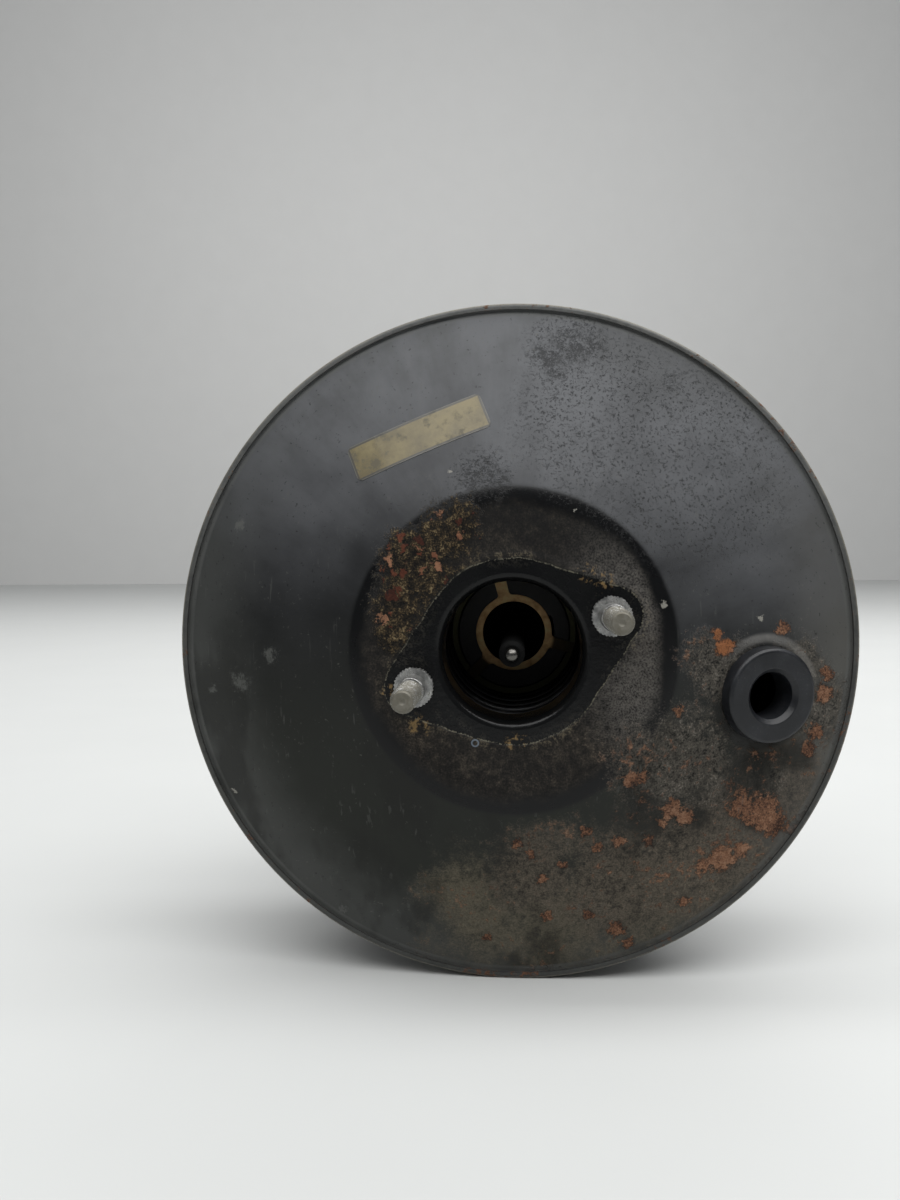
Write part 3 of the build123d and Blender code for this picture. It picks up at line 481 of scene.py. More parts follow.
def bored(piece, radius, place, direction, depth):
    """Cuts a round hole through the piece, at a place and along a direction."""
    deselect()
    turn = Vector((0, 0, 1)).rotation_difference(Vector(direction)).to_euler()
    bpy.ops.mesh.primitive_cylinder_add(vertices=64, radius=radius, depth=depth, location=place,
                                        rotation=turn)
    cutter = bpy.context.object
    modify(piece, "BOOLEAN", object=cutter, operation="DIFFERENCE", solver="EXACT")
    bpy.data.objects.remove(cutter)
    return piece


def merged_copy(node, name, bevel=0.0):
    """A copy of a CAD node with its triangles merged, shaded smooth, and with its edges broken."""
    focus(frame["nodes"][node])
    bpy.ops.object.duplicate(linked=False)
    piece = bpy.context.object
    piece.name = name
    piece.parent = None
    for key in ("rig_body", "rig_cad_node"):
        if key in piece:
            del piece[key]
    edit()
    bpy.ops.mesh.remove_doubles(threshold=WELD)
    bpy.ops.mesh.tris_convert_to_quads()
    bpy.ops.object.mode_set(mode="OBJECT")
    if piece.data.has_custom_normals:
        bpy.ops.mesh.customdata_custom_splitnormals_clear()
    if bevel:
        modify(piece, "BEVEL", width=bevel, segments=2, limit_method="ANGLE", angle_limit=math.radians(35))
    return smooth(piece, 30)


def finished(piece, material, body, slot, *nodes):
    """Gives a piece its material, its body and the CAD nodes that it stands for; its slot in the record is
    not used.
    """
    piece.data.materials.clear()
    piece.data.materials.append(material)
    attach(piece, body)
    if nodes:
        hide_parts(*nodes)
    return piece


def screw_thread(name, radius, depth, pitch, length):
    """A helical ridge round the Y axis, from y = 0 back to y = length, which runs out at both ends."""
    root = radius - depth
    inside = root - depth / 2
    foot, crest = pitch * 0.48, pitch * 0.07
    turns = int(length / pitch) - 1
    corners = [(inside, -foot), (root, -foot), (radius, -crest), (radius, crest), (root, foot),
               (inside, foot)]
    piece = outline(name, corners)
    close_line(corners[0], corners[-1])
    bpy.ops.object.mode_set(mode="OBJECT")
    modify(piece, "SCREW", axis="Y", angle=TURN, screw_offset=pitch, iterations=turns, steps=28,
           render_steps=28, use_smooth_shade=True)
    edit()
    bpy.ops.mesh.remove_doubles(threshold=WELD)
    bpy.ops.mesh.fill_holes(sides=0)
    bpy.ops.mesh.select_all(action="SELECT")
    bpy.ops.mesh.normals_make_consistent(inside=False)
    bpy.ops.transform.translate(value=(0, pitch / 2, 0))
    reach = turns * pitch + pitch
    for share in (1.0, 0.66, 0.33):
        pick(lambda co: co.y < share * pitch or co.y > reach - share * pitch)
        bpy.ops.transform.resize(value=(0.94, 1, 0.94), center_override=(0, 0, 0))
    bpy.ops.object.mode_set(mode="OBJECT")
    return smooth(piece, 40, weighted=False)


def coil_spring(name, radius, wire, front_y, back_y, turns):
    """A coil of round wire about the Y axis, with a closed turn at each end."""
    rings = []
    for y in (front_y + wire, back_y - wire):
        deselect()
        bpy.ops.mesh.primitive_torus_add(major_radius=radius, minor_radius=wire, major_segments=96,
                                         minor_segments=14, location=(0, y, 0), rotation=(math.pi / 2, 0, 0))
        rings.append(bpy.context.object)
        bpy.ops.object.transform_apply(location=True, rotation=True)
    deselect()
    bpy.ops.mesh.primitive_circle_add(vertices=14, radius=wire, location=(radius, front_y + wire, 0))
    piece = bpy.context.object
    bpy.ops.object.transform_apply(location=True)
    modify(piece, "SCREW", axis="Y", angle=TURN, iterations=turns, steps=72, render_steps=72,
           screw_offset=(back_y - front_y - 2 * wire) / turns, use_smooth_shade=True)
    edit()
    bpy.ops.mesh.fill_holes(sides=0)
    close_edit()
    return smooth(joined(name, piece, *rings), 50, weighted=False)


# Finishes

# Blisters on the front casing, each (x, z, radius) in millimetres
RUST_SPOTS = [
    (71.2, 1.6, 4.2), (68, 6.5, 1.8), (92, 7.1, 3.2), (108.5, -9, 3.0), (107.5, -15.8, 4.4),
    (105, -29.6, 3.6), (103, -35.5, 3.4), (55.4, -19.4, 2.4), (39.8, -43.2, 3.4), (43.5, -42, 2.4),
    (54.6, -54.6, 4.6),
    (59, -57.5, 4.4), (51, -60, 2.8), (86, -57.6, 8.6), (79, -54.5, 6.2), (91, -62, 6.4), (73, -73.8, 6.8),
    (80, -71, 3.4), (66.5, -76.5, 3.4), (1.6, -65.8, 2.6), (24.8, -61.6, 2.6), (29, -67.8, 2.2),
    (36.4, -65.5, 2.8), (10.2, -80, 2.0), (37, -100, 4.0), (41, -106, 2.8), (27, -94, 2.2), (-9, -104, 2.0),
    (6, -70, 1.8), (17.5, -74, 1.8), (98, -64, 3.0), (47, -66, 2.4), (12, -95, 2.6), (60, -90, 3.0),
]


def lozenge_edge(x, z, radius, wander):
    """How far a place lies outside the outline of the master cylinder's flange, in metres."""
    belly, lobe, reach = 31.4 * MM, 10.2 * MM, STUD_PITCH / 2
    along = abs(x * math.cos(STUD_ANGLE) + z * math.sin(STUD_ANGLE))
    across = abs(z * math.cos(STUD_ANGLE) - x * math.sin(STUD_ANGLE))
    lean = (belly - lobe) / reach
    level = math.sqrt(1 - lean * lean)
    share = along * level - across * lean
    side = along * lean + across * level - belly
    tip = ((along - reach) ** 2 + across * across) ** 0.5 - lobe
    past_tip = share > level * reach
    before = share < 0
    edge = side * (1 - past_tip) + tip * past_tip
    return edge * (1 - before) + (radius - belly) * before + wander


class CasingFinish(Finish):
    """The front casing's paint; each method lays its haze, painted sheen and shade, dirt, rust or marks on
    the colour.
    """

    def __init__(self, values):
        super().__init__("worn_black_paint", IOR=1.3)
        self.values = values
        self.x, self.y, self.z = self.split()
        self.radius = (self.x * self.x + self.z * self.z) ** 0.5
        self.broad = self.noise(16, 3)
        self.middle = self.noise(60, 5, 0.6)
        self.fine = self.noise(420, 5, 0.65)
        self.grain = self.noise(1500, 3, 0.7)
        self.speckle = self.fine * 0.5 + self.grain * 0.5
        self.flat = self.flattened()
        shift = self.vector("SUBTRACT", self.noise(330, 5, 0.7, output="Color"), (0.5, 0.5, 0.5))
        self.ragged = self.vector("ADD", self.flat, self.vector("MULTIPLY", shift, (7 * MM, 0, 7 * MM)))

    def lay(self, share, tone):
        """Blends a tone over the colour so far."""
        self.colour = self.blend(share, self.colour, tone)

    def zone(self, marks, low, high, clumps, grains):
        """A patch of round marks with ragged edges, broken into clumps and grains."""
        share = spots(self, self.ragged, marks) + (self.middle - 0.5) * clumps
        return self.fade(share + (self.speckle - 0.5) * grains, low, high)

    def near(self, value, middle, inner, outer):
        """1 where the value is within inner of the middle, 0 past outer."""
        return self.fade(abs(value - middle), inner, outer, 1, 0)

    def find_parts(self):
        """Masks of the neck, plateau, band and flank, and of the lozenge that a flange kept clean."""
        radius, middle = self.radius, self.middle
        wander = (self.noise(130, 4) - 0.5) * (2.2 * MM) + (self.grain - 0.5) * (0.8 * MM)
        edge = lozenge_edge(self.x, self.z, radius, wander)
        front = self.fade(self.y, SEAT_Y + 0.4 * MM, SEAT_Y + 1.4 * MM, 1, 0)
        self.seat = self.fade(edge, -0.3 * MM, 0.5 * MM, 1, 0) * front
        self.seat_line = self.near(edge, -0.1 * MM, 0.05 * MM, 0.34 * MM) * front
        self.ridge = self.near(edge, 1.0 * MM, 0.3 * MM, 2.4 * MM) * front
        self.neck = self.fade(radius, 24 * MM, 25.4 * MM, 1, 0)
        plateau = self.fade(radius + (middle - 0.5) * (9 * MM), 46.5 * MM, 52 * MM, 1, 0)
        plateau = plateau * (1 - self.seat) * (1 - self.neck)
        top = self.fade(self.z + (self.broad - 0.5) * (40 * MM), 44 * MM, 22 * MM, 0.5, 1)
        self.plateau = plateau * top
        band_end = self.fade(radius + (middle - 0.5) * (1.4 * MM), 54.2 * MM, 55.4 * MM, 1, 0)
        self.band = self.fade(radius, 45.5 * MM, 50 * MM) * band_end
        self.flank = self.fade(radius, 54 * MM, 56.5 * MM)

    def lay_haze(self):
        """Worn paint on the upper flank that is also painted sheen of the light from above and the right,
        with soft clouds and radial streaks of painted highlight; lighter grey towards the rim, paler on the
        right as painted light; and painted shade on the dark band round the plateau.
        """
        x, z, radius = self.x, self.z, self.radius
        # Radial streaks of painted highlight, which stand for the reflection of the light on the cone.
        rays = self.add("ShaderNodeCombineXYZ", {}, (x / radius * 7, radius * 22, z / radius * 7))
        self.sheen_streaks = self.noise(1, 4, 0.65, place=rays)
        clouds = self.broad * 0.4 + self.middle * 0.35 + self.sheen_streaks * 0.35
        # Haze, lighter towards the top and the right: partly chalky worn paint, partly painted sheen of the
        # light.
        haze = self.fade(z + x * 0.15 + (self.broad - 0.5) * (40 * MM), -50 * MM, 92 * MM) ** 1.6
        self.haze = haze * self.fade(clouds, 0.36, 0.70, 0.5, 1.04) * self.flank
        # The paint is a lighter, greener black low on the flank.
        self.colour = self.blend(self.fade(z, 30 * MM, -50 * MM) * self.flank, self.values.paint,
                                 (0.010, 0.0115, 0.0085))
        self.lay(self.haze, self.values.worn_paint_and_sheen)
        # Lighter grey towards the rim; the paler grey on the right is painted light from the right.
        film = self.fade(radius + (self.middle - 0.5) * (14 * MM), 84 * MM, 115 * MM) * (1 - self.haze)
        rim_tone_and_light = self.blend(self.fade(x, 50 * MM, 105 * MM), (0.052, 0.054, 0.051), (0.094, 0.092, 0.083))
        self.lay(film * 0.85, rim_tone_and_light)
        # Painted shade: the dark band on the rounded corner between the plateau and the flank.
        self.lay(self.band * 0.95, (0.003, 0.0032, 0.0036))

    def lay_plateau_dirt(self):
        """Dark dirt on the plateau, with pale dust on its right that is also a painted sheen of the light.
        """
        speckle, middle = self.speckle, self.middle
        self.lay(self.plateau * 0.9, self.ramp(
            speckle * 0.8 + middle * 0.2, (0.40, (0.003, 0.0027, 0.0024)), (0.50, (0.014, 0.012, 0.0098)),
            (0.58, (0.040, 0.033, 0.025)), (0.66, (0.12, 0.098, 0.072))))
        # Pale grainy dust on the plateau's right, partly a painted sheen of the light from the right.
        sheen = spots(self, self.flat, [(42, 24, 34), (44, -14, 26)]) + (middle - 0.5) * 0.5
        sheen = self.fade(sheen, 0.0, 0.75) * self.plateau
        self.lay(sheen * self.fade(self.grain * 0.7 + self.fine * 0.3, 0.36, 0.60) * 0.8,
                 (0.104, 0.097, 0.088))

    def lay_road_dirt(self):
        """Olive dust at the foot, brown dirt low on the right, grit beside the port, and darker gaps."""
        speckle, middle = self.speckle, self.middle
        olive = self.zone([(-16, -84, 20), (14, -97, 38), (46, -93, 36), (-10, -100, 26), (70, -84, 26)],
                          -0.05, 0.85, 1.3, 1.2)
        brown = self.zone([(68, -70, 44), (92, -48, 26), (38, -82, 32), (8, -78, 22)], 0.0, 0.62, 1.2, 1.0)
        grit = self.zone([(57, -38, 25), (71, -6, 15), (99, -6, 13), (106, -20, 15), (88, -46, 9)],
                         0.02, 0.5, 1.5, 1.2)
        gaps = self.zone([(80, -43, 12), (84, -60, 6), (46, -57, 12), (64, -58, 7), (98, -38, 9)],
                         0.1, 0.7, 1.4, 0.8)
        self.lay(olive * 0.8, self.ramp(
            speckle * 0.7 + middle * 0.3, (0.36, (0.012, 0.011, 0.008)), (0.48, self.values.dust),
            (0.64, (0.17, 0.148, 0.105))))
        self.lay(brown * 0.75, self.ramp(
            speckle * 0.8 + middle * 0.2, (0.38, (0.008, 0.007, 0.006)), (0.48, (0.056, 0.047, 0.037)),
            (0.58, (0.115, 0.095, 0.073)), (0.68, (0.22, 0.19, 0.15))))
        self.lay(grit * 0.85, self.ramp(
            speckle, (0.405, (0.005, 0.0045, 0.004)), (0.47, (0.050, 0.045, 0.037)),
            (0.56, (0.088, 0.079, 0.066)), (0.64, (0.22, 0.20, 0.17))))
        self.lay(gaps * 0.75, (0.011, 0.0115, 0.010))
        stains = self.fade(self.noise(26, 4, 0.65, place=self.stretched((1, 1, 0.45))), 0.53, 0.64)
        stains = stains * self.fade(self.z, 20 * MM, -20 * MM) * self.flank
        self.lay(stains * 0.6, (0.006, 0.0062, 0.005))
        crumbs = self.ridge * (1 - self.seat) * self.fade(speckle, 0.50, 0.60) * self.fade(middle, 0.42, 0.6)
        self.lay(crumbs * 0.8, (0.11, 0.092, 0.06))
        self.grit = grit
        self.pitted = brown.max(grit).max(olive * 0.7)
        self.dusty = olive.max(brown).max(grit).max(self.plateau * 0.8).max(crumbs)

    def lay_scuffs(self):
        """Dark specks, scuffs and smudges on the upper flank."""
        where = spots(self, self.flat, [(62, 62, 48), (30, 80, 40), (20, 101, 22), (-10, 58, 14)])
        where = self.fade(where + (self.middle - 0.5) * 0.5, 0.05, 0.5)
        specks = self.fade(self.noise(900, 4, 0.8), 0.54, 0.62) * where * 0.8
        scuffs = self.noise(330, 5, 0.8, place=self.stretched((1, 1, 1.7)))
        scuffs = self.fade(scuffs, 0.58, 0.64) * where * self.fade(self.speckle, 0.44, 0.54) * 0.75
        smudge = self.zone([(20, 103, 11), (27, 105, 8), (12, 100, 8), (15, 95, 6), (54, 91, 5),
                            (-10, 59, 8), (-3, 56, 5)], 0.1, 0.75, 1.2, 1.6)
        smudge = smudge * self.fade(self.speckle + (self.sheen_streaks - 0.5) * 0.3, 0.42, 0.56) * 0.8
        self.dark_marks = specks.max(scuffs).max(smudge)
        self.lay(self.dark_marks * 0.85, (0.008, 0.0078, 0.0075))

    def lay_crust(self):
        """A crust of grains with loose flakes of rust, on the upper left of the plateau."""
        crust = self.zone([(-31, 28, 20), (-24, 38, 15), (-38, 15, 13), (-17, 42, 10), (-36, 34, 11),
                           (-41, 5, 8)], 0.15, 0.6, 1.2, 1.3)
        self.crust = crust * (1 - self.seat)
        self.lay(self.crust * 0.92, self.ramp(
            self.speckle, (0.42, (0.003, 0.0027, 0.0023)), (0.50, (0.015, 0.012, 0.008)),
            (0.56, (0.060, 0.040, 0.019)), (0.62, (0.19, 0.145, 0.078))))
        pick_cell, tint_cell, _ = self.split(self.cells(300, place=self.ragged, output="Color"))
        cell_edge = self.cells(300, "DISTANCE_TO_EDGE", place=self.ragged)
        flakes = (pick_cell > 0.72) * self.fade(cell_edge, 0.08, 0.16)
        self.flakes = flakes * self.fade(self.crust, 0.45, 0.7)
        self.lay(self.flakes * 0.95, self.ramp(
            tint_cell * 0.6 + self.speckle * 0.5, (0.25, (0.045, 0.014, 0.009)), (0.5, (0.11, 0.034, 0.018)),
            (0.8, (0.28, 0.14, 0.08))))

    def lay_rust(self):
        """Blistered rust low on the right and round the grommet, with stains beside the seat."""
        fine, grain, speckle = self.fine, self.grain, self.speckle
        blister = spots(self, self.ragged, RUST_SPOTS) + (fine - 0.5) * 1.7 + (grain - 0.5) * 0.9
        pits = self.fade(fine * 0.7 + self.middle * 0.5, 0.665, 0.76) * self.pitted * 0.8
        self.rust = self.fade(blister, 0.08, 0.42).max(pits) * (1 - self.seat)
        self.lay(self.rust, self.ramp(
            fine * 0.3 + grain * 0.5 + self.noise(95, 2) * 0.4 - 0.1, (0.36, (0.012, 0.007, 0.005)),
            (0.44, self.values.old_rust), (0.53, self.values.rust), (0.66, (0.28, 0.16, 0.10))))
        bright = self.zone([(71.2, 1.6, 4.6), (68.5, 5.5, 2.4)], 0.2, 0.5, 0.3, 1.2)
        self.lay(bright * self.fade(speckle, 0.38, 0.5, 0.35, 0.85), (0.27, 0.105, 0.042))
        stain = self.zone([(0.6, -30.4, 4.2), (3.4, -30.2, 3.0), (-31, -24.6, 4.0), (25, 25.4, 4.4),
                           (31, 23.4, 4.0), (-42, -13, 3)], 0.15, 0.7, 1.4, 2.6)
        self.stain = stain * self.fade(fine, 0.47, 0.56)
        self.lay(self.stain * 0.85, (0.20, 0.13, 0.055))
        self.lay(self.seat_line * self.fade(fine * 0.5 + grain * 0.6, 0.50, 0.62) * 0.75,
                 (0.20, 0.185, 0.135))

    def lay_motes(self):
        """Lighter grey in the rim's groove, partly film and partly painted light that lifts the groove's
        shade; motes, faint marks and fine scratches.
        """
        middle, flank = self.middle, self.flank
        # Lighter grey in the rim's groove: partly film, partly painted light that lifts the shade in the
        # groove.
        self.lay(self.fade(self.radius, 115.4 * MM, 116.4 * MM) * self.fade(middle, 0.3, 0.6, 0.3, 0.7),
                 (0.088, 0.090, 0.086))
        motes = self.noise(620, 3, 0.75)
        self.lay(self.fade(motes, 0.63, 0.70) * flank * self.fade(middle, 0.4, 0.6) * 0.5,
                 (0.10, 0.098, 0.088))
        self.lay(self.fade(motes, 0.37, 0.30) * flank * (1 - self.dusty) * 0.6, (0.006, 0.006, 0.006))
        faint = self.zone([(-97, -13, 5), (-108, -16, 3), (-85, -2, 4), (-97, 43, 3), (-62, -96, 3)],
                          0.2, 0.8, 1.5, 2.5)
        self.lay(faint * 0.55, (0.105, 0.108, 0.100))
        scratches = self.fade(self.noise(760, 2, 0.4, place=self.stretched((1, 1, 0.035))), 0.66, 0.70)
        self.lay(scratches * self.fade(middle, 0.46, 0.6) * flank * 0.3, (0.085, 0.086, 0.080))

    def lay_chips(self):
        """Film on the clean seat, pale chips and a ring mark."""
        film = self.fade(self.speckle + (self.middle - 0.5) * 0.5, 0.53, 0.62) * self.seat
        self.lay(film * self.fade(self.radius, 27 * MM, 31 * MM) * 0.45, (0.036, 0.033, 0.027))
        chips = spots(self, self.ragged, [(50.2, 15.4, 1.6), (-20.6, 60.3, 0.9), (20.5, 47, 0.8),
                                          (83.8, 10.5, 1.2), (-101.5, -53, 1.5), (-99, -66, 1.0)])
        self.lay(self.fade(chips + (self.fine - 0.5) * 0.7, 0.2, 0.42) * 0.8, (0.26, 0.25, 0.22))
        ring = self.vector("DISTANCE", self.flat, (-12.4 * MM, 0, -30.8 * MM), "Value")
        self.lay(self.near(ring, 1.1 * MM, 0.1 * MM, 0.4 * MM) * 0.5, (0.20, 0.25, 0.31))

    def lay_port_ring(self):
        """The low ring pressed up round the grommet, with pale dust on top and shade below."""
        port = self.vector("DISTANCE", self.place, tuple(PORT_PLACE), "Value")
        self.port_ring = self.fade(port, 17.2 * MM, 21.5 * MM, 1, 0)
        pale = self.near(port, 18.9 * MM, 0.6 * MM, 2.3 * MM)
        pale = pale * self.fade(self.z + self.x * 0.35, 19 * MM, 32 * MM)
        self.lay(pale * (0.2 + self.fine * 0.6), (0.15, 0.145, 0.135))
        gloom = self.near(port, 17.8 * MM, 0.8 * MM, 3.0 * MM)
        gloom = gloom * self.fade(self.z + self.x * 0.25, 8 * MM, -8 * MM)
        self.lay(gloom * 0.75, (0.007, 0.007, 0.006))

    def roughness(self):
        """Matt where dirt, crust or rust lies, and shinier on the clean seat and in the neck."""
        matt = (self.dusty * 0.9).max(self.rust).max(self.crust)
        rough = self.blend(matt, (self.values.gloss,) * 3, (0.9,) * 3)
        rough = rough + self.haze * 0.12 + (self.middle - 0.5) * 0.10 + self.dark_marks * 0.25
        shiny_seat = self.seat * (1 - self.stain) * self.fade(self.middle, 0.36, 0.6, 0.15, 0.5)
        return (rough - self.band * 0.06) * (1 - shiny_seat) * (1 - self.neck * 0.6)

    def relief(self):
        """The bump of grains, crust, flakes, rust and orange peel, and the port's low ring."""
        fine, grain = self.fine, self.grain
        height = (fine * 0.16 + grain * 0.10) * self.dusty + self.grit * (fine * 0.3 + grain * 0.2)
        height = height + self.crust * (fine * 0.9 + grain * 0.5) + self.flakes * 0.35
        height = height + self.rust * (0.25 + fine * 0.6 + grain * 0.2) + self.middle * 0.04
        height = height + self.ridge * (1 - self.seat) * fine * 0.5 + self.seat * fine * 0.14
        height = height + self.noise(700, 1, 0.4) * 0.012 - self.dark_marks * 0.12
        return self.bump(height * 0.9 + self.port_ring * 1.3, 1 * MM, 0.9)


def casing_finish():
    """Black paint, hazed on top, which is also painted sheen of the light, with painted shade on the band
    round the plateau, dusty and rusted where such a casing holds water and road dirt.
    """
    finish = CasingFinish(bpy.context.scene.booster_casing)
    finish.find_parts()
    finish.lay_haze()
    finish.lay_plateau_dirt()
    finish.lay_road_dirt()
    finish.lay_scuffs()
    finish.lay_crust()
    finish.lay_rust()
    finish.lay_motes()
    finish.lay_chips()
    finish.lay_port_ring()
    return finish.wear(Base_Color=finish.colour, Roughness=finish.roughness(), Normal=finish.relief())


def rear_paint_finish():
    """The same paint at the back: dusty on top, with light rust on edges, and a grey lip that is lighter on
    top as painted light, with a painted highlight along its rolled outer edge.
    """
    values = bpy.context.scene.booster_casing
    finish = Finish("rear_black_paint", IOR=1.35)
    x, _, z = finish.split()
    radius = (x * x + z * z) ** 0.5
    middle, fine, grain = finish.noise(55, 5, 0.6), finish.noise(400, 5, 0.65), finish.noise(1400, 3, 0.7)
    haze = finish.fade(finish.noise(14, 3) + (middle - 0.5) * 0.4, 0.36, 0.68)
    colour = finish.blend(haze * 0.22 + fine * 0.08, values.paint, values.worn_paint_and_sheen)
    lip = finish.fade(radius, 117.5 * MM, 118.5 * MM)
    # The lip is grey wear, lighter towards the top as painted light from above.
    lip_tone_and_highlight = finish.blend(finish.fade(z, -30 * MM, 90 * MM), (0.050, 0.051, 0.047), (0.104, 0.106, 0.102))
    # Painted highlight: a pale line along the rolled outer edge.
    lip_tone_and_highlight = finish.blend(finish.fade(radius, 119.4 * MM, 120.2 * MM), lip_tone_and_highlight, (0.20, 0.188, 0.15))
    colour = finish.blend(lip * finish.fade(fine + middle * 0.5, 0.52, 0.86, 0.55, 0.9), colour, lip_tone_and_highlight)
    dust_zone = finish.fade(finish.noise(24, 4, 0.6) + finish.fade(z, -40 * MM, 90 * MM) * 0.18, 0.52, 0.74)
    dusty = dust_zone * finish.fade(fine + (grain - 0.5) * 0.5, 0.42, 0.68) * 0.6 * (1 - lip * 0.7)
    colour = finish.blend(dusty, colour, values.dust)
    pits = finish.fade(fine + finish.noise(30, 3) * 0.8, 1.02, 1.12)
    rust_tone = finish.ramp(grain, (0.35, values.old_rust), (0.6, values.rust))
    colour = finish.blend(pits * 0.85, colour, rust_tone)
    rough = haze * 0.12 + dusty * 0.4 + pits * 0.5 + (values.gloss + 0.02) + (middle - 0.5) * 0.08
    height = dusty * (fine * 0.2 + grain * 0.08) + pits * fine * 0.6 + finish.noise(700, 1, 0.4) * 0.012
    return finish.wear(Base_Color=colour, Roughness=rough, Normal=finish.bump(height, 0.8 * MM, 0.8))


def zinc_finish():
    """White zinc plate, dulled, with white bloom and dirt in the thread."""
    finish = Finish("dull_zinc", Metallic=0.85)
    zinc = tuple(bpy.context.scene.booster_studs.zinc)
    cloud, fine = finish.noise(420, 4, 0.6), finish.noise(2600, 4, 0.7)
    colour = finish.blend(finish.fade(cloud, 0.35, 0.68), tuple(0.5 * c for c in zinc), zinc)
    _, y, _ = finish.split()
    tip = finish.fade(y, STUD_LOW.y + 1.4 * MM, STUD_LOW.y + 0.2 * MM)
    thread = finish.fade(y, SEAT_Y - 11 * MM, SEAT_Y - 13 * MM)
    bloom = finish.fade(finish.noise(900, 4, 0.7), 0.56, 0.68)
    colour = finish.blend(bloom * 0.4, colour, (0.60, 0.60, 0.57))
    dirt = finish.fade(fine + cloud * 0.5 + tip * 0.22 + thread * 0.17, 0.78, 0.92)
    centre = spots(finish, finish.flattened(), [(x / MM, z / MM, 2.8) for x, z in STUD_PLACES])
    end_face = finish.fade(y, STUD_LOW.y + 1.4 * MM, STUD_LOW.y + 1.0 * MM)
    dirt = dirt.max(finish.fade(centre, 0.25, 0.6) * end_face)
    colour = finish.blend(dirt * 0.85, colour, (0.115, 0.104, 0.074))
    rough = cloud * 0.25 + bloom * 0.2 + dirt * 0.2 + 0.24
    return finish.wear(Base_Color=colour, Roughness=rough, Metallic=0.95 - bloom * 0.4 - dirt * 0.45,
                       Normal=finish.bump(cloud + fine * 0.4, 0.06 * MM))


def steel_finish(name, colour, rough, spread=0.3, scale=500, metallic=0.95, soil=(0.09, 0.075, 0.055),
                 ior=1.5):
    """Bare or plated steel with a fine grain, light soil and wear."""
    finish = Finish(name, IOR=ior)
    cloud = finish.noise(scale * 0.3, 4, 0.6)
    fine = finish.noise(scale * 4, 4, 0.7)
    base = finish.blend(finish.fade(cloud, 0.32, 0.7), tuple((1 - spread) * c for c in colour), colour)
    dirt = finish.fade(cloud * 0.6 + fine * 0.5, 0.58, 0.74)
    base = finish.blend(dirt * 0.55, base, soil)
    return finish.wear(Base_Color=base, Roughness=cloud * 0.2 + dirt * 0.25 + (rough - 0.1),
                       Metallic=(metallic - dirt * 0.5).max(0),
                       Normal=finish.bump(fine * 0.5 + cloud * 0.4, 0.05 * MM))


def retainer_finish():
    """Yellow passivated plate on the retainer, browner towards its inner edge, with painted shade on the
    arms that bend away low on the ring.
    """
    finish = Finish("gold_passivated_plate")
    x, _, z = finish.split()
    radius = (x * x + z * z) ** 0.5
    cloud = finish.noise(260, 4, 0.6)
    colour = finish.ramp(
        cloud + finish.fade(radius, 15.5 * MM, 26 * MM) * 0.22,
        (0.32, (0.24, 0.14, 0.065)), (0.55, (0.44, 0.285, 0.135)), (0.8, (0.46, 0.40, 0.20)))
    # Painted shade: the arms low on the ring bend away from the light and are darkened.
    painted_arm_shade = finish.fade(radius, 15.4 * MM, 17.5 * MM) * finish.fade(z, 4 * MM, 9 * MM, 1, 0)
    colour = finish.blend(painted_arm_shade * 0.93, colour, (0.012, 0.011, 0.008))
    return finish.wear(Base_Color=colour, Roughness=cloud * 0.25 + 0.22, Metallic=0.85,
                       Normal=finish.bump(finish.noise(1500, 3), 0.04 * MM))


def rubber_finish(name="black_rubber", colour=None, sheen=0.0):
    """Moulded rubber with a faint bloom and dust in its hollows."""
    tint = colour or tuple(bpy.context.scene.booster_grommet.rubber)
    finish = Finish(name, Sheen_Weight=sheen, Sheen_Roughness=0.5, IOR=1.4)
    cloud, fine = finish.noise(90, 4, 0.6), finish.noise(1300, 4, 0.7)
    base = finish.blend(finish.fade(cloud, 0.36, 0.68), tint, tuple(c * 1.9 for c in tint))
    dust = finish.fade(fine + cloud * 0.5, 0.84, 1.0)
    base = finish.blend(dust * 0.3, base, (0.10, 0.097, 0.088))
    return finish.wear(Base_Color=base, Roughness=cloud * 0.30 + dust * 0.2 + 0.22,
                       Normal=finish.bump(fine * 0.5 + cloud * 0.3, 0.08 * MM))


def moulding_finish():
    """Dark phenolic moulding with a slight mottle."""
    finish = Finish("dark_moulding", IOR=1.5)
    cloud, fine = finish.noise(150, 5, 0.65), finish.noise(1800, 4, 0.7)
    base = finish.ramp(cloud, (0.34, (0.009, 0.008, 0.007)), (0.62, (0.020, 0.017, 0.014)),
                       (0.8, (0.032, 0.026, 0.019)))
    return finish.wear(Base_Color=base, Roughness=cloud * 0.25 + 0.32,
                       Normal=finish.bump(fine * 0.4 + cloud * 0.4, 0.06 * MM))


def fibre_finish(name, dark, light, scale):
    """Felt or open foam: a loose tangle of light and dark."""
    finish = Finish(name, Sheen_Weight=0.4)
    tangle = finish.noise(scale, 5, 0.8, 1.5)
    base = finish.ramp(tangle, (0.35, dark), (0.62, light))
    return finish.wear(Base_Color=base, Roughness=0.95, Normal=finish.bump(tangle, 0.4 * MM))


